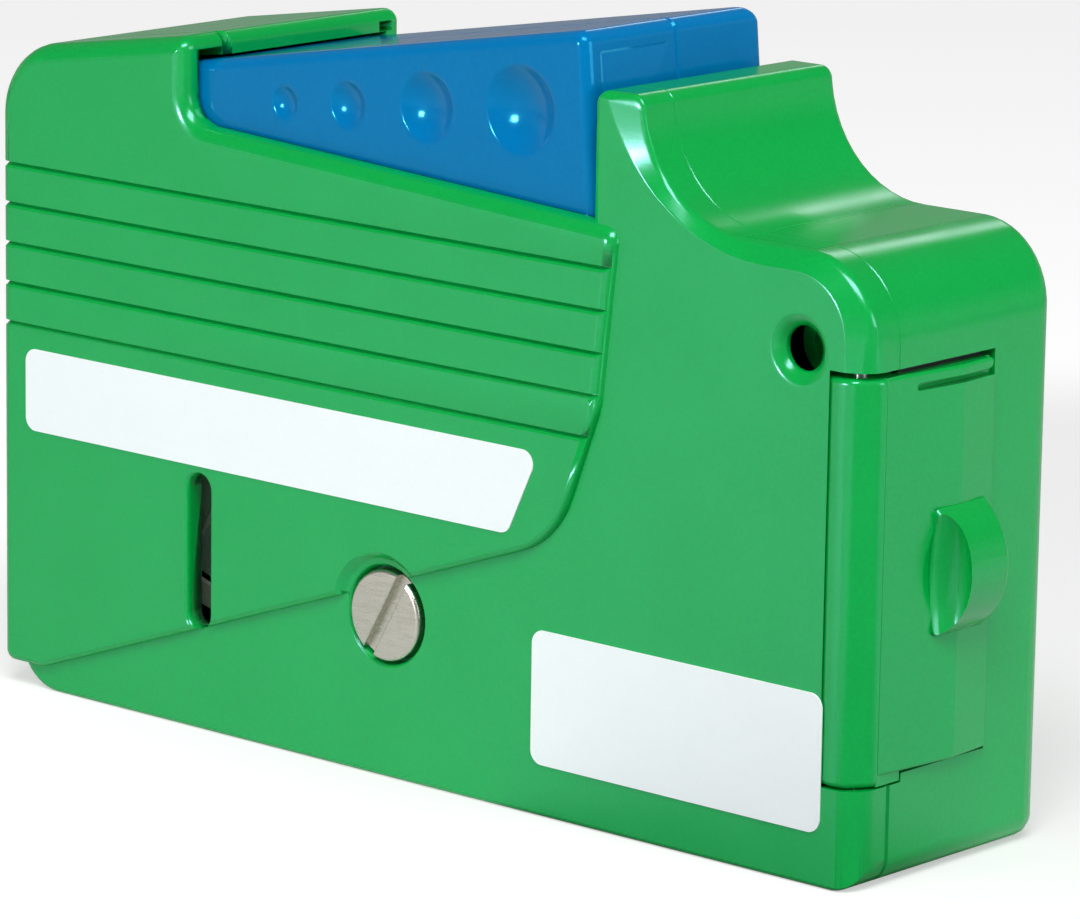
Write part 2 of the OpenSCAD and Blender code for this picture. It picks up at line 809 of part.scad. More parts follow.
module lever_hollow() {
    outline = [
        [pivot[0] + lever_boss_r + lever_wall, pivot[1] - lever_boss_r*2, lever_tip_r],
        [lever_end_foot[0] - lever_wall, lever_end_foot[1] - lever_boss_r, lever_tip_r/2],
        [lever_end[0] - lever_wall, lever_end[1] - lever_wall, lever_tip_r/2],
        [pivot[0] + lever_boss_r + lever_wall, pivot[1] + lever_boss_r - lever_wall/2, lever_tip_r/2]];
    polygon(rounded(outline));
}

// One half of the lever: side -1 is the near half
module lever_half(side) {
    face = lever_w/2;
    y0 = side < 0 ? -face : seat_gap;
    y1 = side < 0 ? -seat_gap : face;
    color(lever_blue)
    difference() {
        union() {
            difference() {
                union() {
                    along_y(side < 0 ? y0 + lever_side_r : y0, side < 0 ? y1 : y1 - lever_side_r)
                        lever_figure(0);
                    along_y(y0, y1)
                        lever_figure(lever_side_inset);
                }
                along_y(side < 0 ? y0 + lever_wall : y0 - over, side < 0 ? y1 + over : y1 - lever_wall)
                    lever_hollow();
            }
            if (side < 0)
                for (i = [0 : dimple_n - 1])
                    bar_y(dimple_places[i][0], dimple_places[i][1], dimple_radii[i] + dimple_back,
                        y0 + lever_wall/2, y0 + dimple_radii[i]*2*dimple_depth_share + dimple_back);
            if (side > 0)
                spring_pad();
            for (p = lever_screw_places)
                bar_y(p[0], p[1], lever_screw_boss_r, side < 0 ? y0 + lever_wall/2 : y0, side < 0 ? y1 : y1 - lever_wall/2);
        }
        bar_y(pivot[0], pivot[1], pivot_d/2 + run_gap, y0 - over, y1 + over);
        if (side < 0)
            for (i = [0 : dimple_n - 1]) {
                r = dimple_radii[i];
                depth = r*2*dimple_depth_share;
                ball = (r*r + depth*depth)/(2*depth);
                translate([dimple_places[i][0], -face + depth - ball, dimple_places[i][1]])
                    sphere(r = ball, $fn = 96);
            }
        for (p = lever_screw_places) {
            bar_y(p[0], p[1], screw_r + seat_gap, -lever_screw_len/2, lever_w/2 + over);
            if (side > 0)
                bar_y(p[0], p[1], screw_head_r + free_gap, face - 2*lever_wall, face + over);
        }
        if (side > 0)
            sector_seat();
    }
}

// Screws that join the lever's halves, from the far side
lever_screw_places = [[-24, 71.5], [16.5, 80]];
lever_screw_boss_r = 3.2;
lever_screw_len = 12;
module lever_screws() {
    head_y = lever_w/2 - 2*lever_wall;
    color(steel)
    for (p = lever_screw_places)
        difference() {
            union() {
                bar_y(p[0], p[1], screw_head_r, head_y, head_y + screw_head_t, 32);
                bar_y(p[0], p[1], screw_r, -lever_screw_len/2 + over, head_y, 32);
            }
            for (turn = [0, 90])
                translate([p[0], head_y + screw_head_t, p[1]])
                    rotate([0, turn, 0])
                        block([-screw_head_r*0.6, -screw_head_t/2, -screw_r*0.2], [screw_head_r*0.6, over, screw_r*0.2]);
        }
}

// Pad on the lever that presses on the spring
module spring_pad() {
    pad_r = 4;
    translate([spring_x, spring_y, spring_z1])
        cylinder(r = pad_r, h = lever_end_foot[1] - spring_z1 + 2*lever_boss_r + pad_r, $fn = 32);
}

module lever_near_half() { lever_half(-1); }
module lever_far_half() { lever_half(1); }

// Involute gear figures
pressure = 20;
backlash = 0.16;
function involute(a) = tan(a) - a*PI/180;
function flank_angle(r, pitch_r, teeth) =
    let (base_r = pitch_r*cos(pressure), a = r > base_r ? acos(base_r/r) : 0,
        half = (PI*tooth_size/2 - backlash/2)/2/pitch_r)
    (half + involute(pressure) - involute(a))*180/PI;
flank_n = 5;
function tooth(centre_angle, pitch_r, teeth, root_r, tip_r) =
    [for (s = [1, -1]) for (k = [0 : flank_n])
        let (share = s > 0 ? k/flank_n : 1 - k/flank_n, r = root_r + (tip_r - root_r)*share,
            a = centre_angle - s*flank_angle(r, pitch_r, teeth))
        [r*cos(a), r*sin(a)]];

// Direction from the pivot to the pinion, where the teeth mesh
mesh_angle = atan2(takeup[1] - pivot[1], takeup[0] - pivot[0]);
sector_r = tooth_size*sector_teeth/2;
pinion_r = tooth_size*pinion_teeth/2;
addendum = tooth_size;
dedendum = tooth_size*1.25;
sector_band = 5;
sector_first = -1;
sector_last = 6;
sector_top_angle = -3.5;
module sector_figure() {
    step = 360/sector_teeth;
    root = sector_r - dedendum;
    inner = root - sector_band;
    from = mesh_angle + (sector_first - 1)*step;
    arc_n = 12;
    teeth_pts = flat([for (i = [sector_first : sector_last])
        tooth(mesh_angle + i*step, sector_r, sector_teeth, root, sector_r + addendum)]);
    polygon(concat(
        [[inner*cos(from), inner*sin(from)], [root*cos(from), root*sin(from)]],
        teeth_pts,
        [for (k = [0 : arc_n])
            let (a0 = mesh_angle + (sector_last + 1)*step, a = a0 + (sector_top_angle - a0)*k/arc_n)
            [root*cos(a), root*sin(a)]],
        [for (k = [0 : 2*arc_n])
            let (a = sector_top_angle + (from - sector_top_angle)*k/(2*arc_n))
            [inner*cos(a), inner*sin(a)]]));
}

sector_tongue = 9;
module sector_head_figure(gap) {
    root = sector_r - dedendum;
    inner = root - sector_band;
    turn = 3;
    polygon([for (q = [[inner - gap, sector_top_angle - turn], [root + gap, sector_top_angle - turn],
            [root + gap, sector_top_angle + sector_tongue], [inner - gap, sector_top_angle + sector_tongue]])
        [q[0]*cos(q[1]), q[0]*sin(q[1])]]);
}

// Seat in the far half that the sector's head is moulded into
module sector_seat() {
    translate([pivot[0], 0, pivot[1]])
        along_y(gear_y0 - seat_gap, gear_y1 + seat_gap)
            sector_head_figure(seat_gap);
}

module lever_sector() {
    color(acetal)
    translate([pivot[0], 0, pivot[1]])
        along_y(gear_y0, gear_y1)
            union() {
                sector_figure();
                sector_head_figure(0);
            }
}

module lever_pivot_pin() {
    color(steel)
    bar_y(pivot[0], pivot[1], pivot_d/2, in_near + free_gap, half_t - face_wall/2 - seat_gap);
}

// Coil spring: one tube along a helix with closed ends
coil_n = 7;
coil_rings = 8;
coil_sides = 6;
function coil_z(t) = let (rise = spring_z1 - spring_z0 - 2*wire_r - 2*free_gap, s = t/coil_n,
        closed = 0.1, slope = 1/(1 - closed))
    spring_z0 + wire_r + free_gap + rise*(s < closed ? s*s*slope/(2*closed)
        : s > 1 - closed ? 1 - (1 - s)*(1 - s)*slope/(2*closed) : (s - closed/2)*slope);
coil_path = [for (i = [0 : coil_n*coil_rings])
    let (t = i/coil_rings) [spring_r*cos(360*t), spring_r*sin(360*t), coil_z(t)]];
coil_least = min([for (i = [0 : coil_n*coil_rings - coil_rings])
    norm(coil_path[i + coil_rings] - coil_path[i])]) - 2*wire_r;
echo(coil_gap_mm = coil_least);
module lever_spring() {
    n = len(coil_path);
    ring = [for (i = [0 : n - 1]) for (k = [0 : coil_sides - 1])
        let (p = coil_path[i], t = 360*i/coil_rings, a = 360*k/coil_sides)
        [p[0] + wire_r*cos(a)*cos(t), p[1] + wire_r*cos(a)*sin(t), p[2] + wire_r*sin(a)]];
    wall = [for (i = [0 : n - 2]) for (k = [0 : coil_sides - 1])
        let (a = i*coil_sides + k, b = i*coil_sides + (k + 1) % coil_sides)
        each [[a, b + coil_sides, b], [a, a + coil_sides, b + coil_sides]]];
    caps = [[for (k = [0 : coil_sides - 1]) k],
        [for (k = [coil_sides - 1 : -1 : 0]) (n - 1)*coil_sides + k]];
    color(steel)
    translate([spring_x, spring_y, 0])
        polyhedron(ring, concat(wall, caps));
}

// Pinion with the flange that carries the drive pawl
pawl_flange_r = 13.6;
hub_r = 3.8;
module drive_pinion() {
    step = 360/pinion_teeth;
    color(acetal)
    difference() {
        union() {
            translate([takeup[0], 0, takeup[1]])
                along_y(gear_y0 - seat_gap, gear_y1)
                    polygon(flat([for (i = [0 : pinion_teeth - 1])
                        tooth(mesh_angle + 180 + step*(i + 0.5), pinion_r, pinion_teeth,
                            pinion_r - dedendum, pinion_r + addendum)]));
            bar_y(takeup[0], takeup[1], pawl_flange_r, pawl_flange_y0, gear_y0, 72);
            translate([takeup[0], 0, takeup[1]])
                along_y(ratchet_y0 + seat_gap, pawl_flange_y0 + seat_gap)
                    translate(drive_post_r*[cos(drive_post_angle), sin(drive_post_angle)])
                        circle(r = pawl_post_r, $fn = 24);
        }
        bar_y(takeup[0], takeup[1], shaft_d/2 + run_gap, ratchet_y0, gear_y1 + over);
    }
}

// Saw-tooth ratchet wheel, keyed to the shaft by its flat
ratchet_r = 9.6;
tooth_depth = 1.2;
key_flat = 0.65;
module ratchet_wheel() {
    root = ratchet_r - tooth_depth;
    step = 360/ratchet_teeth;
    rake = 0.8;
    color(acetal)
    difference() {
        translate([takeup[0], 0, takeup[1]])
            along_y(ratchet_y0, ratchet_y0 + ratchet_t)
                polygon(flat([for (i = [0 : ratchet_teeth - 1])
                    [[root*cos(i*step), root*sin(i*step)],
                        [ratchet_r*cos(i*step + rake), ratchet_r*sin(i*step + rake)]]]));
        keyed_bore(ratchet_y0 - over, ratchet_y0 + ratchet_t + over);
    }
}

module keyed_bore(y0, y1) {
    difference() {
        bar_y(takeup[0], takeup[1], shaft_d/2 + seat_gap, y0, y1);
        block([takeup[0] - shaft_d, y0, takeup[1] + shaft_d/2*key_flat + seat_gap],
            [takeup[0] + shaft_d, y1, takeup[1] + shaft_d]);
    }
}

// Flexing pawl: a thin arm from a post down to the foot of a tooth
pawl_tip_gap = 0.25;
pawl_arm_t = 0.8;
pawl_post_r = 1.2;
drive_post_r = 12.2;
drive_post_angle = 22;
stop_post_angle = 202;
stop_post_r = 1.3;
stop_post = [takeup[0] + drive_post_r*cos(stop_post_angle), takeup[1] + drive_post_r*sin(stop_post_angle)];
pawl_sweep = 36;
pawl_n = 12;
// Radius of the arm's underside for a share of its sweep from the tip
function pawl_under(share) = let (root = ratchet_r - tooth_depth + pawl_tip_gap,
        lift_share = 0.2, clear = ratchet_r + pawl_tip_gap,
        far = drive_post_r + pawl_post_r*0.2)
    share < lift_share ? root + (clear - root)*share/lift_share
        : clear + (far - clear)*(share - lift_share)/(1 - lift_share);
module pawl_figure(tip_angle, post_r) {
    difference() {
        polygon(concat(
            [for (k = [0 : pawl_n]) let (s = k/pawl_n, r = pawl_under(s), a = tip_angle - pawl_sweep*s)
                [r*cos(a), r*sin(a)]],
            [for (k = [pawl_n : -1 : 0]) let (s = k/pawl_n, r = pawl_under(s) + pawl_arm_t, a = tip_angle - pawl_sweep*s)
                [r*cos(a), r*sin(a)]]));
    }
    translate(drive_post_r*[cos(tip_angle - pawl_sweep), sin(tip_angle - pawl_sweep)])
        circle(r = post_r + pawl_arm_t, $fn = 24);
}

module pawl(tip_angle, post_r, y0, y1) {
    color(acetal)
    difference() {
        translate([takeup[0], 0, takeup[1]])
            along_y(y0, y1)
                pawl_figure(tip_angle, post_r);
        bar_y(takeup[0] + drive_post_r*cos(tip_angle - pawl_sweep),
            takeup[1] + drive_post_r*sin(tip_angle - pawl_sweep), post_r + seat_gap, y0 - over, y1 + over, 24);
    }
}

module drive_pawl() {
    pawl(drive_post_angle + pawl_sweep, pawl_post_r, ratchet_y0 + seat_gap, pawl_flange_y0 - seat_gap);
}

module back_stop_pawl() {
    pawl(stop_post_angle + pawl_sweep, stop_post_r, plate_y1 + seat_gap, ratchet_y0 + ratchet_t);
}

// Take-up side
shaft_y0 = reel_y0 - 1.4;
clip_t = 0.5;
groove_r_share = 0.75;
module takeup_shaft() {
    flat_z = takeup[1] + shaft_d/2*key_flat;
    color(steel)
    difference() {
        bar_y(takeup[0], takeup[1], shaft_d/2, shaft_y0, in_far - free_gap/2);
        block([takeup[0] - shaft_d, shaft_y0 - over, flat_z], [takeup[0] + shaft_d, reel_y1, takeup[1] + shaft_d]);
        block([takeup[0] - shaft_d, ratchet_y0, flat_z], [takeup[0] + shaft_d, ratchet_y0 + ratchet_t, takeup[1] + shaft_d]);
        clip_groove(takeup, shaft_d/2);
    }
}

module clip_groove(at, r) {
    difference() {
        bar_y(at[0], at[1], r + over, reel_y0 - clip_t - 2*seat_gap, reel_y0 - seat_gap);
        bar_y(at[0], at[1], r*groove_r_share, reel_y0 - 2*clip_t, reel_y0 + clip_t);
    }
}

// Spring clip, open at one side
module clip(at, r) {
    opening = r*groove_r_share*0.9;
    color(steel)
    difference() {
        bar_y(at[0], at[1], r*1.8, reel_y0 - clip_t - seat_gap, reel_y0 - 2*seat_gap);
        bar_y(at[0], at[1], r*groove_r_share + seat_gap, reel_y0 - 2*clip_t, reel_y0);
        block([at[0] - opening, reel_y0 - 2*clip_t, at[1] - 2*r], [at[0] + opening, reel_y0, at[1]]);
    }
}

module takeup_clip() { clip(takeup, shaft_d/2); }

// Reel with spoked flanges; the windows are cut by a loop
module reel_flange(at, d, hub, y0, window_n) {
    ring_w = 2.6;
    spoke_w = 3;
    difference() {
        bar_y(at[0], at[1], d/2, y0, y0 + flange_t, 96);
        difference() {
            difference() {
                bar_y(at[0], at[1], d/2 - ring_w, y0 - over, y0 + flange_t + over, 96);
                bar_y(at[0], at[1], hub + ring_w, y0 - 2*over, y0 + flange_t + 2*over);
            }
            for (i = [0 : window_n - 1])
                translate([at[0], y0, at[1]])
                    rotate([0, i*360/window_n, 0])
                        block([0, -2*over, -spoke_w/2], [d/2, flange_t + 2*over, spoke_w/2]);
        }
    }
}

takeup_core_r = 9;
module takeup_reel() {
    color(acetal)
    difference() {
        union() {
            bar_y(takeup[0], takeup[1], takeup_core_r, reel_y0, reel_y1);
            reel_flange(takeup, takeup_d, takeup_core_r, reel_y0, 5);
            reel_flange(takeup, takeup_d, takeup_core_r, reel_y1 - flange_t, 5);
        }
        keyed_bore(reel_y0 - over, reel_y1 + over);
        lightening(takeup, takeup_core_r);
    }
}

// Round recess in the near side of a reel's core
module lightening(at, core_r) {
    rib = 1.5;
    hub = shaft_d/2 + rib + over;
    difference() {
        bar_y(at[0], at[1], core_r - rib, reel_y0 - over, reel_y1 - 2*rib);
        bar_y(at[0], at[1], hub, reel_y0 - 2*over, reel_y1);
    }
}

module takeup_tape() {
    color(paper_white)
    difference() {
        bar_y(takeup[0], takeup[1], start_d/2, tape_y0, tape_y1, 72);
        bar_y(takeup[0], takeup[1], takeup_core_r + seat_gap, tape_y0 - over, tape_y1 + over, 72);
    }
}

// Supply side
spindle_r = 2.5;
supply_core_r = 8;
brake_t = 0.5;
module supply_spindle() {
    head_t = 0.6;
    color(steel)
    difference() {
        union() {
            bar_y(supply[0], supply[1], spindle_r, shaft_y0, plate_y1 + head_t);
            bar_y(supply[0], supply[1], spindle_r*1.5, plate_y1, plate_y1 + head_t);
        }
        clip_groove(supply, spindle_r);
    }
}

module supply_clip() { clip(supply, spindle_r); }

module supply_reel() {
    color(acetal)
    difference() {
        union() {
            bar_y(supply[0], supply[1], supply_core_r, reel_y0, reel_y1);
            reel_flange(supply, supply_d, supply_core_r, reel_y0, 6);
            reel_flange(supply, supply_d, supply_core_r, reel_y1 - flange_t, 6);
        }
        bar_y(supply[0], supply[1], spindle_r + run_gap, reel_y0 - over, reel_y1 + over);
        lightening(supply, supply_core_r);
    }
}

module supply_tape() {
    color(paper_white)
    difference() {
        bar_y(supply[0], supply[1], roll_d/2, tape_y0, tape_y1, 96);
        bar_y(supply[0], supply[1], supply_core_r + seat_gap, tape_y0 - over, tape_y1 + over, 72);
    }
}

module supply_brake() {
    brake_r = 7;
    color(dark_grey)
    difference() {
        bar_y(supply[0], supply[1], brake_r, plate_y0 - brake_t, plate_y0);
        bar_y(supply[0], supply[1], spindle_r + seat_gap, plate_y0 - 2*brake_t, plate_y0 + over);
    }
}

// Guide rollers and their pins
roller_pin_r = 1;
module guide_roller(at) {
    color(acetal)
    difference() {
        bar_y(at[0], at[1], roller_r, tape_y0 - tape_side/2, tape_y1 + tape_side/2);
        bar_y(at[0], at[1], roller_pin_r + run_gap, tape_y0 - over, tape_y1 + over);
    }
}

module upper_guide_roller() { guide_roller(upper_roller); }
module lower_guide_roller() { guide_roller(lower_roller); }

module roller_pins() {
    head_t = 0.6;
    color(steel)
    for (p = [upper_roller, lower_roller]) {
        bar_y(p[0], p[1], roller_pin_r, tape_y0 - tape_side, plate_y1, 32);
        bar_y(p[0], p[1], roller_pin_r*1.6, tape_y0 - tape_side - head_t, tape_y0 - tape_side, 32);
    }
}

// Free run of the tape: tangents between the rolls, the guide post and the rollers
tape_gap = free_gap;
mid_r = tape_gap + tape_t/2;
// Direction of the contact radius where one line touches two rounds on the same side
function touch(c1, r1, c2, r2, side) =
    let (d = c2 - c1) atan2(d[1], d[0]) + side*acos((r1 - r2)/norm(d));
supply_run_r = roll_d/2 + mid_r;
takeup_run_r = start_d/2 + mid_r;
roller_run_r = roller_r + mid_r;
post_run_r = post_r + tape_gap + tape_t/2;
a1 = touch(supply, supply_run_r, guide_post, post_run_r, -1);
a2 = touch(guide_post, post_run_r, lower_roller, roller_run_r, -1);
a3 = touch(upper_roller, roller_run_r, takeup, takeup_run_r, -1);
function on(c, r, a) = [c[0] + r*cos(a), c[1] + r*sin(a), cos(a), sin(a)];
function arc_pts(c, r, from, to, n) = [for (k = [0 : n]) on(c, r, from + (to - from)*k/n)];
arc_n = 8;
run_pts = concat(
    [on(supply, supply_run_r, a1)],
    arc_pts(guide_post, post_run_r, a1, a2, 2),
    arc_pts(lower_roller, roller_run_r, a2, 0, arc_n),
    arc_pts(upper_roller, roller_run_r, 0, a3 + 360, arc_n),
    [on(takeup, takeup_run_r, a3)]);
module cleaning_tape() {
    color(paper_white)
    along_y(tape_y0, tape_y1)
        polygon(concat(
            [for (p = run_pts) [p[0] + p[2]*tape_t/2, p[1] + p[3]*tape_t/2]],
            [for (i = [len(run_pts) - 1 : -1 : 0])
                let (p = run_pts[i]) [p[0] - p[2]*tape_t/2, p[1] - p[3]*tape_t/2]]));
}

// Platen behind the slots
carrier_t = 7;
pad_t = 2.5;
carrier_x = roller_x + roller_r - pad_t - carrier_t;
platen_mid_z = slot_z0 + slot_h/2;
carrier_h = 2*(upper_roller[1] - roller_r - free_gap - platen_mid_z);
peg_inset = 4.7;
peg_dist = carrier_h/2 - peg_inset;
carrier_peg_r = 1.2;
pad_x1 = roller_x + roller_r;
module platen_carrier() {
    rim = 0.8;
    color(dark_grey)
    union() {
        difference() {
            block([carrier_x, tape_y0 - tape_side, platen_mid_z - carrier_h/2],
                [carrier_x + carrier_t, plate_y0, platen_mid_z + carrier_h/2]);
            block([carrier_x - over, tape_y0 + rim, platen_mid_z - carrier_h/2 + 2*rim],
                [carrier_x + carrier_t/2, plate_y0 - 2*rim, platen_mid_z + carrier_h/2 - 2*rim]);
        }
        for (s = [-1, 1])
            bar_y(carrier_x + carrier_t/2, platen_mid_z + s*peg_dist, carrier_peg_r, plate_y0 - over, plate_y1, 32);
    }
}

module platen_pad() {
    edge = 1;
    x0 = carrier_x + carrier_t;
    color([0.15, 0.15, 0.16])
    translate([0, tape_y0, 0])
        rotate([-90, 0, 0])
            linear_extrude(tape_w)
                polygon([
                    [x0, -(platen_mid_z - carrier_h/2 + edge)],
                    [pad_x1 - edge, -(platen_mid_z - carrier_h/2 + edge)],
                    [pad_x1, -(platen_mid_z - carrier_h/2 + 2*edge)],
                    [pad_x1, -(platen_mid_z + carrier_h/2 - 2*edge)],
                    [pad_x1 - edge, -(platen_mid_z + carrier_h/2 - edge)],
                    [x0, -(platen_mid_z + carrier_h/2 - edge)]]);
}

// Labels on the near face
label_t = 0.15;
label_r = 1.6;
front_label_x = [-59.6, 15.8, 20.3];
front_label_z = [31.2, 40.9];
lower_label_x = [18.8, 59.4];
lower_label_z = [5.9, 21];
module front_label() {
    outline = [
        [front_label_x[0], front_label_z[0], label_r],
        [front_label_x[1], front_label_z[0], label_r],
        [front_label_x[2], front_label_z[1], label_r],
        [front_label_x[0], front_label_z[1], label_r]];
    face = near_y - grip_proud;
    color(paper_white)
    along_y(face - label_t, face)
        polygon(rounded(outline));
}

module lower_label() {
    outline = [
        [lower_label_x[0], lower_label_z[0], label_r],
        [lower_label_x[1], lower_label_z[0], label_r],
        [lower_label_x[1], lower_label_z[1], label_r],
        [lower_label_x[0], lower_label_z[1], label_r]];
    color(paper_white)
    along_y(near_y - label_t, near_y)
        polygon(rounded(outline));
}

rear_case();
front_cover();
shutter_door();
door_hinge_pin();
window_frame();
coin_screw();
screw_retainer();
threaded_insert();
mechanism_plate();
plate_screws();
lever_near_half();
lever_far_half();
lever_screws();
lever_sector();
lever_pivot_pin();
lever_spring();
drive_pinion();
drive_pawl();
ratchet_wheel();
back_stop_pawl();
takeup_shaft();
takeup_reel();
takeup_tape();
takeup_clip();
supply_spindle();
supply_reel();
supply_tape();
supply_brake();
supply_clip();
upper_guide_roller();
lower_guide_roller();
roller_pins();
cleaning_tape();
platen_carrier();
platen_pad();
front_label();
lower_label();
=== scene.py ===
import json
import math

import bmesh
import bpy
from mathutils import Matrix, Vector

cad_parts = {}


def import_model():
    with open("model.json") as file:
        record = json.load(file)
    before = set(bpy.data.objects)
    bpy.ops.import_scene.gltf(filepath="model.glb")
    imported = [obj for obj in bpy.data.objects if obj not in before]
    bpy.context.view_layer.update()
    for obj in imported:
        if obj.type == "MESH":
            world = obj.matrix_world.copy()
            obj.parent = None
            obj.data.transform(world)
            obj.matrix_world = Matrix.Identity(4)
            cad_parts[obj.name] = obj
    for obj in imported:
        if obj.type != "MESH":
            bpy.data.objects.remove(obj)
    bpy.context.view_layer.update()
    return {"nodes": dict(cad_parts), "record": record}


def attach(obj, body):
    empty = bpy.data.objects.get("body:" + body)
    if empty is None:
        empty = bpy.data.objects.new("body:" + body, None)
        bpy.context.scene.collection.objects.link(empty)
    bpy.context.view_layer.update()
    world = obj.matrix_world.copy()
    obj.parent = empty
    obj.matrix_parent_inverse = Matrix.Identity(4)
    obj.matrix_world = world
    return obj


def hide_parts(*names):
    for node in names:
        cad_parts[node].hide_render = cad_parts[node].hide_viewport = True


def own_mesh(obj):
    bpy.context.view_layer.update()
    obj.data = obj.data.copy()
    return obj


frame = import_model()
nodes = frame["nodes"]
scene = bpy.context.scene
scene.view_settings.view_transform = "Standard"

# One millimetre in metres. All lengths below are in millimetres, unless a comment says metres
MM = 0.001

# Shared with the solids: half the thickness, how far the grip stands proud of it, the parting plane between
# rear case and cover, and the grip's left end
HALF_T = 16.5
PROUD = 1.0
PART_Y = -11.0
LEFT_X = -64.0

# How far rounded outlines stay inside the solids, a corner's least radius, and its coarsest facet in degrees
SKIN = 0.012
LEAST_R = 0.03
ARC = 7.5

# Corners closer than this become one: the split corners of a CAD copy, and slivers that cuts leave
SPLIT = 0.00005
SLIVER = 0.0005


def link(obj):
    scene.collection.objects.link(obj)
    return obj


def drop(obj):
    """Removes an object, and its mesh where nothing else uses it."""
    mesh = obj.data
    bpy.data.objects.remove(obj)
    if mesh.users == 0:
        bpy.data.meshes.remove(mesh)


def mesh_object(name, verts, faces):
    mesh = bpy.data.meshes.new(name)
    mesh.from_pydata([[c * MM for c in v] for v in verts], [], faces)
    mesh.validate()
    bm = bmesh.new()
    bm.from_mesh(mesh)
    bmesh.ops.recalc_face_normals(bm, faces=bm.faces)
    bm.to_mesh(mesh)
    bm.free()
    return link(bpy.data.objects.new(name, mesh))


def baked(obj):
    """The object with its modifiers applied, as a new object; the old one goes."""
    graph = bpy.context.evaluated_depsgraph_get()
    mesh = bpy.data.meshes.new_from_object(obj.evaluated_get(graph))
    new = link(bpy.data.objects.new(obj.name, mesh))
    drop(obj)
    mesh.name = new.name
    return new


def boolean(obj, others, operation="DIFFERENCE"):
    """obj joined with, cut by or kept inside each of the others, which go."""
    for other in others:
        mod = obj.modifiers.new("cut", "BOOLEAN")
        mod.operation = operation
        mod.solver = "MANIFOLD"
        mod.object = other
        obj = baked(obj)
        drop(other)
    return obj


def merged(obj, dist=SLIVER):
    bm = bmesh.new()
    bm.from_mesh(obj.data)
    bmesh.ops.remove_doubles(bm, verts=bm.verts, dist=dist * MM)
    bmesh.ops.dissolve_degenerate(bm, edges=bm.edges, dist=dist * MM)
    bm.to_mesh(obj.data)
    bm.free()
    return obj


def copy_of(node):
    """Copy of a CAD mesh with its split corners joined, so that it is closed."""
    return merged(link(bpy.data.objects.new("solid", nodes[node].data.copy())), SPLIT)


def smooth(obj, angle=28):
    """Smooth shading that follows the large faces, with edges sharper than angle kept sharp."""
    for poly in obj.data.polygons:
        poly.use_smooth = True
    obj.data.set_sharp_from_angle(angle=math.radians(angle))
    mod = obj.modifiers.new("normals", "WEIGHTED_NORMAL")
    mod.keep_sharp = True
    mod.weight = 90
    return obj


# Solids built from rows of points, and the paths and outlines they use


def loft(name, sections):
    """Closed solid through sections of points (x, y, z), capped at both ends."""
    n = len(sections[0])
    last = (len(sections) - 1) * n
    verts = [v for section in sections for v in section]
    faces = [tuple(range(n)), tuple(range(last, last + n))[::-1]]
    for low in range(0, last, n):
        for i in range(n):
            a, b = low + i, low + (i + 1) % n
            faces.append((a, b, b + n, a + n))
    return mesh_object(name, verts, faces)


def lathe_y(name, at, profile, segs=64):
    """Solid of revolution round an axis along Y through at = (x, z).

    profile is [(r, y), ...] from axis to axis.
    """
    verts, faces, rows = [], [], []
    for r, y in profile:
        if r < 1e-6:
            rows.append([len(verts)])
            verts.append((at[0], y, at[1]))
        else:
            rows.append(list(range(len(verts), len(verts) + segs)))
            for k in range(segs):
                t = 2 * math.pi * k / segs
                verts.append((at[0] + r * math.cos(t), y, at[1] + r * math.sin(t)))
    for low, high in zip(rows, rows[1:]):
        for k in range(segs):
            m = (k + 1) % segs
            if len(low) == 1:
                faces.append((low[0], high[k], high[m]))
            elif len(high) == 1:
                faces.append((low[k], high[0], low[m]))
            else:
                faces.append((low[k], high[k], high[m], low[m]))
    return mesh_object(name, verts, faces)


def sphere_at(name, at, r, segs):
    """Ball with its rings round the X axis."""
    verts, faces = [(at[0] - r, at[1], at[2])], []
    rows = segs // 2
    for j in range(1, rows):
        t = math.pi * j / rows
        q = r * math.sin(t)
        for k in range(segs):
            a = 2 * math.pi * k / segs
            verts.append((at[0] - r * math.cos(t), at[1] + q * math.cos(a), at[2] + q * math.sin(a)))
    verts.append((at[0] + r, at[1], at[2]))
    last = len(verts) - 1
    for k in range(segs):
        faces.append((0, 1 + k, 1 + (k + 1) % segs))
    for j in range(rows - 2):
        for k in range(segs):
            a, b = 1 + j * segs + k, 1 + j * segs + (k + 1) % segs
            faces.append((a, a + segs, b + segs, b))
    for k in range(segs):
        faces.append((last, last - segs + (k + 1) % segs, last - segs + k))
    return mesh_object(name, verts, faces)


def upright(obj):
    """Turns a solid made along Y so that it stands along Z: (x, y, z) becomes (x, z, y)."""
    for v in obj.data.vertices:
        v.co = (v.co.x, v.co.z, v.co.y)
    obj.data.flip_normals()
    return obj


def bend(x, y, r, start, end, steps=8):
    """Points of an arc round (x, y) from start to end in degrees, each with its outward normal."""
    out = []
    for k in range(steps + 1):
        t = math.radians(start + (end - start) * k / steps)
        n = (math.cos(t), math.sin(t))
        out.append(((x + r * n[0], y + r * n[1]), n))
    return out


def swept(name, path, profile, place):
    """Solid along a path of (point, outward normal) in a plane.

    profile holds (outward, across). place makes a point of two coordinates in the plane and one across it.
    """
    return loft(name, [[place(p[0] + n[0] * d, p[1] + n[1] * d, w) for d, w in profile] for p, n in path])


def stadium(x, z, width, height, grow):
    """Outline of a tall slot with round ends, wider by grow all round."""
    r, n = width / 2 + grow, 12
    top, low = z + height / 2 - width / 2, z - height / 2 + width / 2
    out = []
    for side, end in ((1, top), (-1, low)):
        for k in range(n + 1):
            t = math.pi * k / n
            out.append((x + side * r * math.cos(t), end + side * r * math.sin(t)))
    return out


# Rounded outlines with a rounded edge toward each face


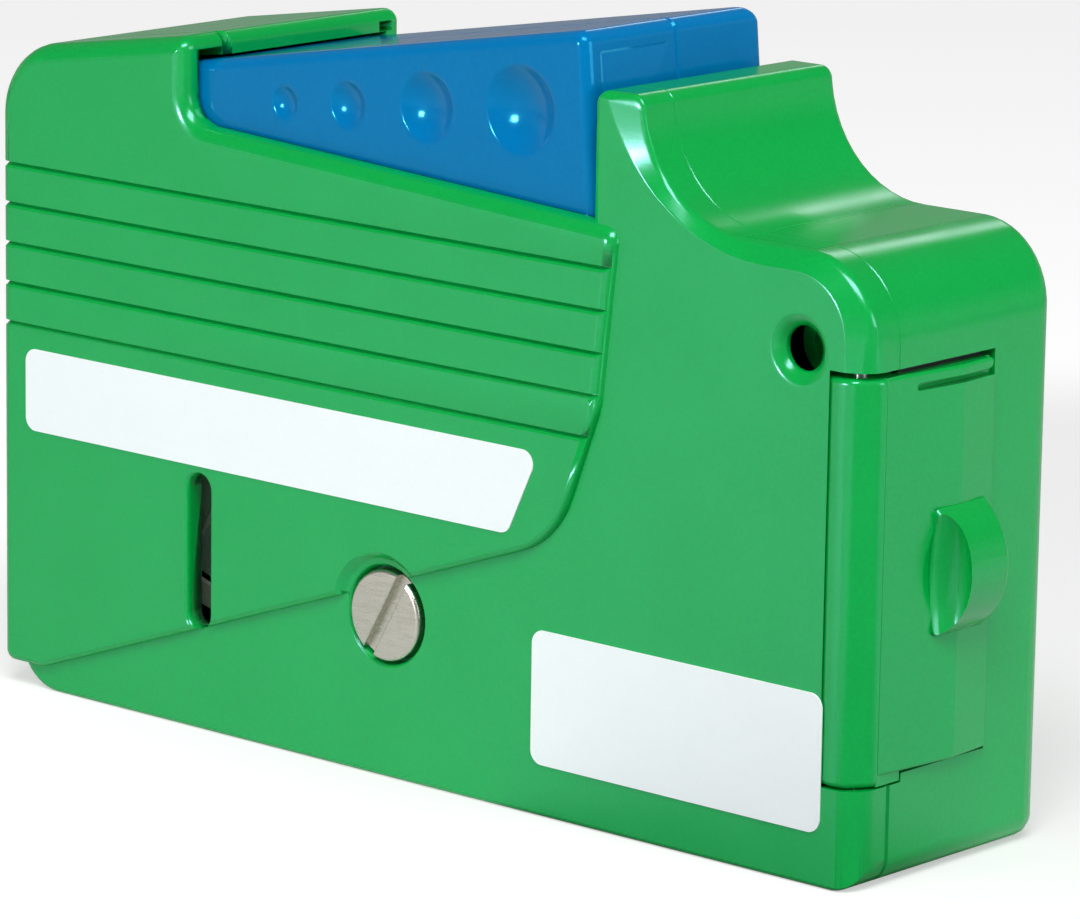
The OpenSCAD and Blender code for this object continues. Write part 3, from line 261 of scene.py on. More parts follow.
def inset_vertex(a, b, c, d1, d2):
    """Corner b of a path a, b, c once its two sides have moved inward by d1 and d2."""
    u1 = (Vector(b[:2]) - Vector(a[:2])).normalized()
    u2 = (Vector(c[:2]) - Vector(b[:2])).normalized()
    n1, n2 = Vector((u1.y, -u1.x)), Vector((u2.y, -u2.x))
    k1 = n1.dot(Vector(b[:2])) - d1
    k2 = n2.dot(Vector(b[:2])) - d2
    det = n1.x * n2.y - n1.y * n2.x
    return Vector(((k1 * n2.y - k2 * n1.y) / det, (n1.x * k2 - n2.x * k1) / det))


def turn(a, b, c):
    """Angle by which a path a, b, c turns at b, positive to the left."""
    u1 = Vector(b[:2]) - Vector(a[:2])
    u2 = Vector(c[:2]) - Vector(b[:2])
    return math.atan2(u1.x * u2.y - u1.y * u2.x, u1.dot(u2))


def corner_steps(angle, arc):
    """Number of facets of a corner, each of arc degrees at most."""
    return max(1, math.ceil(math.degrees(abs(angle)) / arc - 1e-6))


def ring(path, inset_of, arc=ARC, counts=None):
    """Points round a path of (x, z, corner radius, edge radius), each as (x, z, edge radius there)."""
    n = len(path)
    moved, radii = [], []
    for i, b in enumerate(path):
        a, c = path[i - 1], path[(i + 1) % n]
        d1, d2 = inset_of(a[3]), inset_of(b[3])
        moved.append(inset_vertex(a, b, c, d1, d2))
        mean = (d1 + d2) / 2
        radii.append(max(b[2] - mean, LEAST_R) if turn(a, b, c) > 0 else b[2] + mean)
    out = []
    for i, b in enumerate(path):
        ang = turn(path[i - 1], b, path[(i + 1) % n])
        side = 1 if ang > 0 else -1
        p, r = moved[i], radii[i]
        u = (p - moved[i - 1]).normalized()
        reach = r * math.tan(abs(ang) / 2)
        centre = p - u * reach + side * r * Vector((-u.y, u.x))
        start = math.atan2(u.y, u.x)
        steps = counts[i] if counts else corner_steps(ang, arc)
        for k in range(steps + 1):
            t = start + ang * k / steps
            q = centre + side * r * Vector((math.sin(t), -math.cos(t)))
            out.append((q.x, q.y, path[i - 1][3] + (b[3] - path[i - 1][3]) * k / steps))
    return out


def skin(name, path, face_y, end_y, shrink=SKIN, end_bevel=0.0, both=False, rings=6, arc=ARC):
    """Solid from a face with rounded edges to end_y. both rounds the far face's edges as well."""
    side = 1 if end_y > face_y else -1

    def rounded(k, y, way):
        u = math.radians(90 * k / rings)
        outline = ring(path, lambda e: shrink + e * (1 - math.sin(u)), arc)
        return [(x, y + way * (shrink + e * (1 - math.cos(u))), z) for x, z, e in outline]

    def straight(y, inset):
        return [(x, y, z) for x, z, _ in ring(path, lambda e: shrink + inset, arc)]

    layers = [rounded(k, face_y, side) for k in range(rings + 1)]
    if both:
        layers += [rounded(k, end_y, -side) for k in range(rings, -1, -1)]
    else:
        if end_bevel:
            layers.append(straight(end_y - side * end_bevel, 0.0))
        layers.append(straight(end_y, end_bevel))
    return loft(name, layers)


def bevel():
    """Unit profile from a face to a side: small rounding, flat, wider rounding, as (inset, depth) shares."""
    first, last, steps = 0.2, 0.6, 5
    low, high = 0.0, math.pi / 2
    for _ in range(40):
        t = (low + high) / 2
        flat_a = (1 - first * math.sin(t) - last * (1 - math.sin(t))) / math.cos(t)
        flat_b = (1 - first * (1 - math.cos(t)) - last * math.cos(t)) / math.sin(t)
        low, high = (t, high) if flat_a < flat_b else (low, t)
    out = []
    for k in range(steps + 1):
        u = t * k / steps
        out.append((1 - first * math.sin(u), first * (1 - math.cos(u))))
    for k in range(steps + 1):
        u = t + (math.pi / 2 - t) * k / steps
        out.append((last * (1 - math.sin(u)), 1 - last * math.cos(u)))
    return out


def blended(name, outer, inner, face_y, end_y, end_bevel):
    """Solid whose face is bounded by the inner path and whose sides follow the outer one.

    The edge between them is a bevel, and a plain rounding where the paths run close.
    """
    close, fade = 1.3, 0.4
    side = 1 if end_y > face_y else -1
    count = len(outer)
    counts = [corner_steps(turn(outer[i - 1], b, outer[(i + 1) % count]), ARC) for i, b in enumerate(outer)]
    sides = ring(outer, lambda e: SKIN)
    bound = ring([(x, z, r, 0) for x, z, r in inner], lambda e: 0.0, counts=counts)
    profile = bevel()
    layers = []
    for k, (inset, depth) in enumerate(profile):
        u = math.pi / 2 * k / (len(profile) - 1)
        layer = []
        for (xo, zo, edge), (xi, zi, _) in zip(sides, bound):
            w = min(1.0, max(0.0, (math.hypot(xi - xo, zi - zo) - close) / fade))
            share = w * inset + (1 - w) * (1 - math.sin(u))
            down = w * depth + (1 - w) * (1 - math.cos(u))
            y = face_y + side * (SKIN + edge * down)
            layer.append((xo + (xi - xo) * share, y, zo + (zi - zo) * share))
        layers.append(layer)
    layers.append([(x, end_y - side * end_bevel, z) for x, z, _ in sides])
    layers.append([(x, end_y, z) for x, z, _ in ring(outer, lambda e: SKIN + end_bevel)])
    return loft(name, layers)


# Shader nodes and materials


def remap(tree, value, source, target, kind="LINEAR"):
    """Output that follows value from one range to another."""
    span = tree.nodes.new("ShaderNodeMapRange")
    span.interpolation_type = kind
    for key, number in zip(("From Min", "From Max", "To Min", "To Max"), (*source, *target)):
        span.inputs[key].default_value = number
    tree.links.new(value, span.inputs["Value"])
    return span.outputs["Result"]


def computed(tree, operation, *values):
    """Output of a math node fed by the given outputs."""
    sums = tree.nodes.new("ShaderNodeMath")
    sums.operation = operation
    for socket, value in zip(sums.inputs, values):
        tree.links.new(value, socket)
    return sums.outputs[0]


def vector_math(tree, operation, value, other=(0, 0, 0), output="Value"):
    """Output of a vector math node fed by one output and one fixed vector."""
    sums = tree.nodes.new("ShaderNodeVectorMath")
    sums.operation = operation
    sums.inputs[1].default_value = other
    tree.links.new(value, sums.inputs[0])
    return sums.outputs[output]


def axis_part(tree, value, axis):
    split = tree.nodes.new("ShaderNodeSeparateXYZ")
    tree.links.new(value, split.inputs[0])
    return split.outputs[axis]


def colour_mix(tree, factor):
    """Colour mix node with its factor linked."""
    mix = tree.nodes.new("ShaderNodeMix")
    mix.data_type = "RGBA"
    tree.links.new(factor, mix.inputs["Factor"])
    return mix


def srgb(r, g, b):
    return [((c / 255 + 0.055) / 1.055) ** 2.4 if c > 10 else c / 255 / 12.92 for c in (r, g, b)]


# Ranges of a noise, and of a face's squareness to Y, over which a material changes, and its bumps' height
NOISE = (0.3, 0.7)
SQUARE = (0.96, 0.995)
BUMP_DEPTH = 0.02


def material(name, colour, rough, grain, grain_size, mottle, mottle_size=6.0, rough_spread=0.06, metal=0.0,
             spec=0.5, tint=(1, 1, 1), sheen=0.0, stretch=None, flats=None):
    """Procedural material.

    grain is the strength of its fine bumps, and mottle the share by which its colour varies. flats holds the
    share of the bumps left on faces that are not square to Y, and the roughness added on those that are.
    """
    mat = bpy.data.materials.new(name)
    mat.use_nodes = True
    tree = mat.node_tree
    node, links = tree.nodes, tree.links
    shader = node["Principled BSDF"]
    shader.inputs["Metallic"].default_value = metal
    shader.inputs["Specular IOR Level"].default_value = spec
    shader.inputs["Specular Tint"].default_value = (*tint, 1)
    shader.inputs["Sheen Weight"].default_value = sheen
    place = node.new("ShaderNodeTexCoord")
    source = place.outputs["Object"]
    if stretch:
        mapping = node.new("ShaderNodeMapping")
        mapping.inputs["Scale"].default_value = stretch
        links.new(source, mapping.inputs["Vector"])
        source = mapping.outputs["Vector"]

    def noise(size, detail, roughness):
        tex = node.new("ShaderNodeTexNoise")
        tex.inputs["Scale"].default_value = 1 / MM / size
        tex.inputs["Detail"].default_value = detail
        tex.inputs["Roughness"].default_value = roughness
        links.new(source, tex.inputs["Vector"])
        return tex.outputs["Fac"]

    wide = noise(mottle_size, 3.0, 0.55)
    fine = noise(grain_size, 2.0, 0.6)
    share = computed(tree, "ADD", remap(tree, fine, NOISE, (0, 0.7)), remap(tree, wide, NOISE, (0, 0.3)))
    shade = colour_mix(tree, share)
    shade.inputs["A"].default_value = [c * (1 - mottle) for c in colour] + [1]
    shade.inputs["B"].default_value = [min(1, c * (1 + mottle)) for c in colour] + [1]
    links.new(shade.outputs["Result"], shader.inputs["Base Color"])
    bump = node.new("ShaderNodeBump")
    bump.inputs["Distance"].default_value = BUMP_DEPTH * MM
    bump.inputs["Strength"].default_value = grain
    links.new(fine, bump.inputs["Height"])
    links.new(bump.outputs["Normal"], shader.inputs["Normal"])
    roughness = remap(tree, wide, NOISE, (rough - rough_spread, rough + rough_spread))
    if flats:
        left, satin = flats
        square = computed(tree, "ABSOLUTE", axis_part(tree, place.outputs["Normal"], "Y"))
        links.new(remap(tree, square, SQUARE, (grain * left, grain)), bump.inputs["Strength"])
        roughness = computed(tree, "ADD", roughness, remap(tree, square, SQUARE, (0, satin)))
    links.new(roughness, shader.inputs["Roughness"])
    return mat


SLOTS = {
    "case_green": material(
        "green_plastic", srgb(0, 165, 66), rough=0.21, grain=0.5, grain_size=0.45, mottle=0.06, mottle_size=9,
        rough_spread=0.03, spec=0.9, tint=(0.44, 0.8, 1), flats=(0.08, 0.16)
    ),
    "lever_blue": material(
        "blue_plastic", srgb(0, 114, 176), rough=0.14, grain=0.16, grain_size=0.5, mottle=0.05, mottle_size=8,
        rough_spread=0.03, spec=0.6, tint=(0.1, 0.78, 1), flats=(0.3, 0.03)
    ),
    "label_white": material(
        "label_paper", srgb(240, 248, 250), rough=0.42, grain=0.15, grain_size=0.35, mottle=0.012,
        mottle_size=5
    ),
    "nickel": material(
        "nickel_plate", srgb(196, 192, 182), rough=0.3, grain=0.25, grain_size=0.6, mottle=0.06,
        mottle_size=3, metal=1.0, stretch=(1, 1, 12)
    ),
    "steel": material(
        "bright_steel", srgb(198, 200, 203), rough=0.26, grain=0.12, grain_size=0.5, mottle=0.05, metal=1.0,
        stretch=(1, 10, 1)
    ),
    "brass": material(
        "turned_brass", srgb(212, 176, 96), rough=0.26, grain=0.15, grain_size=0.4, mottle=0.05, metal=1.0,
        stretch=(1, 9, 1)
    ),
    "acetal_white": material(
        "acetal", srgb(232, 231, 224), rough=0.36, grain=0.12, grain_size=0.7, mottle=0.02
    ),
    "dark_grey": material(
        "grey_moulding", srgb(58, 60, 64), rough=0.46, grain=0.4, grain_size=0.4, mottle=0.08
    ),
    "rubber_black": material(
        "soft_rubber", srgb(38, 38, 40), rough=0.72, grain=0.5, grain_size=0.3, mottle=0.1
    ),
    "felt_grey": material(
        "pressed_felt", srgb(128, 128, 130), rough=0.95, grain=1.0, grain_size=0.25, mottle=0.2, sheen=0.3
    ),
    "tape_white": material(
        "woven_tape", srgb(236, 238, 240), rough=0.85, grain=0.8, grain_size=0.18, mottle=0.04, sheen=0.2
    ),
}
for part in frame["record"]["subparts"]:
    mesh = nodes[part["node"]].data
    mesh.materials.clear()
    mesh.materials.append(SLOTS[part["material_slot"]])


def dress(obj, slot_name, body, *replaced):
    """Gives a finished piece the material of its slot and the body it rides on, and hides the CAD nodes it
    stands for.
    """
    obj.data.materials.clear()
    obj.data.materials.append(SLOTS[slot_name])
    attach(obj, body)
    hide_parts(*replaced)
    return obj


# Case. Outlines hold (x, z, corner radius, near edge radius, far edge radius), and a side has the edge radii
# of the corner it starts from

BASE = [
    (-62.5, 0, 6.5, 0.6, 2.6),
    (64, 0, 3.2, 3.6, 3.7),
    (64, 67.4, 9.5, 3.5, 1.5),
    (34.2, 67.4, 13.396, 3.5, 1.5),
    (32.6, 81, 1.6, 3.5, 1.5),
    (26.2, 81, 1.6, 1.6, 1.2),
    (26.2, 62, 1, 1.2, 1.2),
    (-62.5, 60, 1, 1.5, 1.5),
]

# The cover's outline as (x, z, corner radius, depth of the edge), and the bound of its near face inside it
COVER_EDGES = (0.6, 2.0, 2.4, 0.8, 1.2, 1.0, 1.2, 1.5)
COVER = [(x, z, r, d) for (x, z, r, _, _), d in zip(BASE, COVER_EDGES)]
NEAR_FACE = [
    (-61, 0.6, 5.2),
    (62.3, 0.6, 1.6),
    (60.7, 65.2, 6.7),
    (34.35, 65.2, 24),
    (27.93, 80.1, 0.3),
    (27.2, 80.1, 0.4),
    (27.2, 60.8, 2),
    (-61, 58.5, 0.05),
]

# Right end and height of the grip's top, on the near and on the far side
GRIP_TOP_NEAR = (-34.0, 80.177)
GRIP_TOP_FAR = (-33.2, 80.3)

# Small chamfers of the case and of the grip along the parting plane
SEAM_BEVEL = 0.1
GRIP_SEAM_BEVEL = 0.3

# Grip grooves as (height, right end)
GROOVES = [(62, 31.2), (57.32, 30.7), (52.64, 30.1), (47.96, 29.0), (43.28, 27.8)]

# Filler as (y, z) over the CAD copy's bevel along the cover's crest, and its stretch in x, so that the edge
# made here shows
CREST = [(-16.49, 77.2), (-16.49, 80.99), (-12.7, 80.99), (-12.7, 80.3), (-15.8, 77.2)]
CREST_SPAN = (26.206, 33.5)

# Axes of the strap hole and the coin screw as (x, z)
STRAP = (55.0, 57.1)
COIN = (-3, 18.6)

# Cutters round the coin screw as (radius, y): the relief in the grip, and the well that holds the head
COIN_RING = [(0, -19), (7.4, -19), (7.4, -17.6), (6.9, -17.1), (6.5, -16.6), (6.3, -16.49), (0, -16.49)]
COIN_WELL = [
    (0, -19), (5.95, -19), (5.95, -16.5), (5.8, -16.38), (5.62, -16.2), (5.55, -15.9), (5.55, -14.6),
    (0, -14.6)
]


def grip_outline(end_x, top_z):
    return [
        (-64, 2.9, 1.6, 0.8, 0.8),
        (-57.5, 2.9, 1, 0.8, 0.8),
        (22.4, 31.2, 12, 0.8, 0.8),
        (28.4, 47.5, 12, 1.5, 1.5),
        (30.5, 66.8, 2, 2, 1.2),
        (end_x, 70.3, 3.4, 2, 1.2),
        (end_x, top_z, 1.5, 2.4, 1.5),
        (-64, 75.6, 8.6, 1.6, 1.6),
    ]


def edged(path, far):
    """The outline with the edge radii of one side only."""
    return [(x, z, r, e_far if far else e_near) for x, z, r, e_near, e_far in path]


def envelope(name, face, side):
    """Rounded body of one half of the case with its proud grip, from the face to the parting plane."""
    far = side < 0
    if far:
        base = skin(name, edged(BASE, far), face, PART_Y, end_bevel=SEAM_BEVEL)
    else:
        base = blended(name, COVER, NEAR_FACE, face, PART_Y, SEAM_BEVEL)
    outline = edged(grip_outline(*(GRIP_TOP_FAR if far else GRIP_TOP_NEAR)), far)
    grip = skin(name + "_grip", outline, face - side * PROUD, PART_Y, end_bevel=GRIP_SEAM_BEVEL)
    return boolean(base, [grip], "UNION")


def groove(z, x_end):
    """Cutter that runs along the near face of the grip, round its left end and along its far face."""
    face, r = HALF_T + PROUD, 1.6
    near = [((x_end, -face), (0, -1))] + bend(LEFT_X + r, -face + r, r, 270, 180)
    far = [((p[0], -p[1]), (n[0], -n[1])) for p, n in reversed(near)]
    profile = ((0.35, 0.52), (-0.55, 0.38), (-0.55, 0.3), (0.35, -0.7))
    return swept("groove", near + far, profile, lambda x, y, h: (x, y, z + h))


def seam_groove():
    """Cutter along the parting plane below the door, down the end wall and round under the case."""
    wall_x, r, top_z, end_x = 64.0, 3.2, 11.15, 52.0
    path = [((wall_x, top_z), (1, 0))] + bend(wall_x - r, r, r, 0, -90) + [((end_x, 0.0), (0, -1))]
    profile = ((0.3, -0.4), (0.0, -0.3), (-0.75, -0.24), (-0.75, 0.24), (0.0, 0.3), (0.3, 0.4))
    return swept("seam_groove", path, profile, lambda x, z, w: (x, PART_Y + w, z))


def strap_dish(face, side):
    """Cutter for the strap hole: a rounded funnel in the face that narrows to the bore."""
    outer_r, rim_r, narrowing, bore_r, drop_y, steps = 5.5, 4.2, 1.8, 2.4, 1.3, 8
    profile = [(0, face - side), (outer_r, face - side), (outer_r, face - side * 0.02)]
    for k in range(steps + 1):
        t = math.radians(90 * k / steps)
        profile.append((rim_r - narrowing * math.sin(t), face + side * drop_y * (1 - math.cos(t))))
    profile += [(bore_r, face + side * 4), (0, face + side * 4)]
    return lathe_y("dish", STRAP, profile)


def filled(solid, face, side):
    """The CAD copy with its grip grooves closed, so that the grooves cut here are the ones that show."""
    half_h, deep, margin = 0.8, 0.9, 0.005
    out = face - side * (PROUD - margin)

    def block(x, y, z):
        outline = ((out, -half_h), (y, -half_h), (y, half_h), (out, half_h))
        return loft("fill", [[(end, across, z + h) for across, h in outline] for end in (LEFT_X + margin, x)])

    blocks = [block(x, out + side * deep, z) for z, x in GROOVES]
    blocks += [block(LEFT_X + deep, PART_Y - side * 0.02, z) for z, _ in GROOVES]
    return boolean(solid, blocks, "UNION")


def half_case(name, node, face, side):
    """Half of the case: its rounded body kept inside the CAD solid, then grooves, strap hole and seam cut."""
    shell = envelope(name, face, side)
    solid = copy_of(node)
    if side > 0:
        solid = boolean(solid, [loft("crest", [[(x, y, z) for y, z in CREST] for x in CREST_SPAN])], "UNION")
    shell = boolean(shell, [filled(solid, face, side)], "INTERSECT")
    return boolean(shell, [groove(z, x) for z, x in GROOVES] + [strap_dish(face, side), seam_groove()])


def view_slot_cut():
    """Cutter for the tall slot in the grip, with a rounded rim as (depth, how much wider)."""
    face = -HALF_T - PROUD
    x, z, width, height = -31.5, 21.2, 3.5, 18
    rim = ((-1, 0.6), (0, 0.6), (0.12, 0.32), (0.3, 0.12), (0.7, 0.02), (6, 0.02))
    sections = []
    for depth, grow in rim:
        sections.append([(px, face + depth, pz) for px, pz in stadium(x, z, width, height, grow)])
    return loft("view_slot", sections)


cover = half_case("cover_skin", "front_cover", -HALF_T, 1)
coin_cuts = [lathe_y("coin_ring", COIN, COIN_RING), lathe_y("coin_well", COIN, COIN_WELL)]
cover = boolean(cover, [view_slot_cut()] + coin_cuts)
rear = half_case("rear_skin", "rear_case", HALF_T, -1)
dress(smooth(merged(cover)), "case_green", "cover", "front_cover")
dress(smooth(merged(rear)), "case_green", "case", "rear_case")


# Lever in two halves, with the outline's radii as for the case

LEVER = [
    (-50.5, 66, 4, 0.9, 0.9),
    (-31, 65.4, 6, 0.9, 0.9),
    (25.4, 64.2, 1.2, 1.4, 1.4),
    (23.3, 86.8, 1.6, 1.4, 2.8),
    (-50.848, 74.277, 4, 0.9, 0.9),
]
LEVER_HALF_T = 14.7
LEVER_HALF_GAP = 0.02

# Dimples of the near face as (x, z, radius)
DIMPLES = [(-20.8, 73.9, 1.9), (-11.2, 74.8, 2.6), (0.6, 75.9, 3.9), (14.3, 77.2, 4.9)]


def dimple(x, z, r, face):
    """Cutter for a bowl with a rounded rim."""
    depth, lip, lip_in, lip_out = r * 0.34, 0.35, 1.5, 1.2
    ball = (r * r + depth * depth) / (2 * depth)
    rim = math.asin(r / ball)
    outer = r + lip_out * lip
    inner = outer - lip_in * lip
    lip_steps, bowl_steps = 4, 12
    profile = [(0, face - 1), (outer, face - 1), (outer, face)]
    for k in range(1, lip_steps + 1):
        t = rim * k / lip_steps
        inset = lip * math.sin(t) / math.sin(rim) * lip_in
        profile.append((outer - inset, face + lip * (1 - math.cos(t)) * lip_out))
    for k in range(1, bowl_steps + 1):
        q = inner * (1 - k / bowl_steps)
        profile.append((q, face + depth - ball + math.sqrt(ball * ball - q * q)))
    return lathe_y("dimple", (x, z), profile, segs=72)


def panel_lines():
    """Cutters for the fine grooves that frame a panel on the end face."""
    (low_x, low_z), (high_x, high_z) = LEVER[2][:2], LEVER[3][:2]
    half_w, deep = 0.576, 0.3
    side_y, middle_y, bottom_z, top_z = -12.2, -1.6, 66, 84.2

    def cutter(name, ends, dy, dz):
        sections = []
        for y, z in ends:
            x = low_x + (z - low_z) * (high_x - low_x) / (high_z - low_z)
            sections.append([(x + deep, y - dy, z - dz), (x + deep, y + dy, z + dz), (x - deep, y, z)])
        return loft(name, sections)

    return [
        cutter("panel_up", ((side_y, bottom_z), (side_y, top_z)), half_w, 0),
        cutter("panel_over", ((side_y - 0.1, top_z), (middle_y, top_z)), 0, -half_w),
    ]


def lever_half(name, node, side):
    face = side * LEVER_HALF_T
    shell = skin(name, edged(LEVER, side > 0), face, side * LEVER_HALF_GAP, shrink=0.0, end_bevel=0.25)
    shell = boolean(shell, [copy_of(node)], "INTERSECT")
    if side < 0:
        shell = boolean(shell, [dimple(x, z, r, face) for x, z, r in DIMPLES] + panel_lines())
    return shell


near_lever = lever_half("near_lever", "lever_near_half", -1)
far_lever = lever_half("far_lever", "lever_far_half", 1)
dress(smooth(merged(near_lever)), "lever_blue", "lever", "lever_near_half")
dress(smooth(merged(far_lever)), "lever_blue", "lever", "lever_far_half")


# Shutter door

# Axis of the knuckle as (x, y)
HINGE = (60.4, -12.9)

# The leaf seen from above as (x, y, corner radius, edge radius), and its foot and top
LEAF = [
    (62.6, -12.9, 0.05, 0.3),
    (64.05, -12.9, 0.05, 0.35),
    (64.92, -2.2, 2, 0.35),
    (65.0, -1.2, 1.5, 0.35),
    (64.5, 4.9, 0.45, 0.35),
    (62.6, 4.9, 0.05, 0.3),
]
LEAF_Z = (12.3, 54.84)

# Web between knuckle and leaf, seen from above, and its foot and top
WEB = [(62.6, -13), (63.95, -13), (63.95, -9.15), (62.6, -9.15)]
WEB_Z = (11.25, 54.85)

# Height of the finger tab's middle
TAB_Z = 33.1


def knuckle():
    """Upright roll round the hinge with rounded ends, its outer side drawn in toward a flat."""
    low_z, high_z, edge, edge_steps = 11.212, 54.888, 0.7, 6
    round_r, flat_r, flat_at, no_flat = 3.588, 3.286, math.radians(55), 4
    count, spread, spacing = 120, 6, 1.3
    levels = []
    for k in range(edge_steps + 1):
        t = math.radians(90 / edge_steps * k)
        levels.append((edge * (1 - math.sin(t)), low_z + edge * (1 - math.cos(t))))
    levels += [(inset, low_z + high_z - z) for inset, z in reversed(levels)]
    around = []
    for k in range(count):
        t = 2 * math.pi * k / count
        reach = 0.0
        for j in range(-spread, spread + 1):
            lean = math.cos(t + math.radians(j * spacing) - flat_at)
            reach += min(round_r, flat_r / lean if lean > 0.5 else no_flat) / (2 * spread + 1)
        around.append((math.sin(t), -math.cos(t), reach))
    sections = []
    for inset, z in levels:
        sections.append([(HINGE[0] + (q - inset) * c, HINGE[1] + (q - inset) * d, z) for c, d, q in around])
    return loft("knuckle", sections)


def finger_tab():
    """Rounded tab on the leaf with a thumb scoop in its near side."""
    foot_x, crest_x, rise, half_h, overlap, steps = 62.7, 68.5, 3.5, 6.9, 0.2, 24
    corner, edge, thin, near_y, far_y = 0.05, 0.6, 0.01, -5.4, 3.1
    ball = (half_h * half_h + rise * rise) / (2 * rise)
    centre_x, span = crest_x - ball, math.asin(half_h / ball)
    path = [
        (foot_x, TAB_Z + half_h - overlap, corner, thin),
        (foot_x, TAB_Z - half_h + overlap, corner, edge),
    ]
    for k in range(steps + 1):
        t = -span + 2 * span * k / steps
        side_edge = edge if k < steps else thin
        path.append((centre_x + ball * math.cos(t), TAB_Z + ball * math.sin(t), corner, side_edge))
    tab = skin("tab", path, near_y, far_y, both=True, rings=5, arc=30)
    scoop_x, scoop_y, scoop_z, scoop_r, taller = 67.0, -5.75, 32.6, 2.68, 3.3
    scoop = sphere_at("scoop", (scoop_x, scoop_y, scoop_z), scoop_r, 96)
    for v in scoop.data.vertices:
        v.co.z = scoop_z * MM + (v.co.z - scoop_z * MM) * taller
    return boolean(tab, [scoop])


def bead_cut():
    """Cutter that leaves a bead along the leaf's top: the slot below it, and the space past its round end."""
    low_z, slot_h, top_z = 52.9, 0.85, 56
    near_y, end_y, bead_y, bead_z, bead_r = -8.0, 5.9, 3.62, 54.33, 0.58
    middle, r = low_z + slot_h / 2, slot_h / 2
    slot = [p for p, _ in bend(near_y, middle, r, 90, 270)]
    slot += [(end_y, low_z), (end_y, top_z), (bead_y, top_z)]
    slot += [p for p, _ in bend(bead_y, bead_z, bead_r, 90, -90, steps=10)]
    sections = []
    for x, grow in ((63.55, 0.0), (64.2, 0.0), (66.5, 0.12)):
        sections.append([(x, y - (grow if y < 0 else 0), z) for y, z in slot])
    return loft("bead_cut", sections)


def door():
    """Leaf, knuckle, web and finger tab joined, with a shallow dish round the tab, a bead and a pin hole."""
    pin_r, hole_low, hole_top = 0.86, 10, 57
    dish_r, dish_x, dish_y = 19.4, 63.66, -1.15
    leaf = upright(skin("door_skin", LEAF, *LEAF_Z, both=True, rings=4, arc=10))
    web = loft("web", [[(x, y, z) for x, y in WEB] for z in WEB_Z])
    body = boolean(leaf, [knuckle(), web], "UNION")
    body = boolean(body, [sphere_at("dish", (dish_x + dish_r, dish_y, TAB_Z), dish_r, 160)])
    body = boolean(body, [finger_tab()], "UNION")
    bore = [(0, hole_low), (pin_r, hole_low), (pin_r, hole_top), (0, hole_top)]
    hole = lathe_y("pin_hole", HINGE, bore, segs=32)
    return boolean(body, [bead_cut(), upright(hole)])


dress(smooth(merged(door())), "case_green", "door", "shutter_door")


# Coin screw


def coin_screw():
    """Head with a rounded edge, shank with a groove for the retainer, and the wide slot across the head."""
    face_y, flat_r, edge, steps = -16.85, 4.75, 0.44, 6
    profile = [(0, face_y), (flat_r, face_y)]
    for k in range(1, steps + 1):
        t = math.radians(90 / steps * k)
        profile.append((flat_r + edge * math.sin(t), face_y + edge * (1 - math.cos(t))))
    profile += [(5.19, -14.4), (5.1, -14.32), (2, -14.32), (2, -12.11), (1.6, -12.11)]
    profile += [(1.6, -11.29), (2, -11.29), (2, -3.3), (1.7, -3.0), (0, -3.0)]
    head = lathe_y("coin", COIN, profile, segs=96)
    turned, reach = math.radians(60.6), 7
    along, across = (math.cos(turned), math.sin(turned)), (-math.sin(turned), math.cos(turned))
    half = [(-1.15, -0.3), (-0.95, 0), (-0.8, 0.16), (-0.78, 1.05)]
    section = half + [(-w, depth) for w, depth in reversed(half)]
    sections = []
    for s in (-reach, reach):
        x, z = COIN[0] + along[0] * s, COIN[1] + along[1] * s
        sections.append([(x + across[0] * w, face_y + depth, z + across[1] * w) for w, depth in section])
    return boolean(head, [loft("coin_slot", sections)])


dress(smooth(merged(coin_screw()), 35), "nickel", "coin", "coin_screw")


# Labels


def label(name, path, face):
    thick, corner, edge = 0.15, 1.6, 0.05
    outline = [(x, z, corner, edge) for x, z in path]
    return skin(name, outline, face - thick, face, shrink=0.0, rings=3, arc=5)


front = label("front_sheet", [(-59.6, 31.2), (15.8, 31.2), (20.3, 40.9), (-59.6, 40.9)], -HALF_T - PROUD)
lower = label("lower_sheet", [(18.8, 5.9), (59.4, 5.9), (59.4, 21), (18.8, 21)], -HALF_T)
dress(smooth(front), "label_white", "cover", "front_label")
dress(smooth(lower), "label_white", "cover", "lower_label")


# Coil spring as one round wire


def spring():
    """Wire whose pitch eases out at both ends, so that they lie flat."""
    turns, rings, sides, r, wire, margin, play = 7, 40, 14, 3.0, 0.4, 0.01, 0.3
    x, y, z_low, z_high = -15, 10, 46 + wire + play, 65 - wire - play
    closed = 0.1
    slope = 1 / (1 - closed)

    def height(s):
        if s < closed:
            return s * s * slope / (2 * closed)
        if s > 1 - closed:
            return 1 - (1 - s) * (1 - s) * slope / (2 * closed)
        return (s - closed / 2) * slope

    sections = []
    count = turns * rings
    for i in range(count + 1):
        t = 2 * math.pi * i / rings
        z = z_low + (z_high - z_low) * height(i / count)
        section = []
        for k in range(sides):
            a = 2 * math.pi * k / sides
            q = r + (wire - margin) * math.cos(a)
            section.append((x + q * math.cos(t), y + q * math.sin(t), z + (wire - margin) * math.sin(a)))
        sections.append(section)
    return loft("coil", sections)


coil = dress(smooth(spring(), 60), "steel", "case", "lever_spring")
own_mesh(coil)

# Camera at the photograph's view: angles in degrees, focal length and width in the photograph's pixels, and
# clip distances in metres

AZIMUTH = 41.51
ELEVATION = 12.42
ROLL = 0.88
FOCAL_PX = 6034
WIDTH_PX = 1080
SENSOR = 36
TARGET = (4.87, 0, 35.01)
DISTANCE = 673.4
CLIP = (0.02, 20)


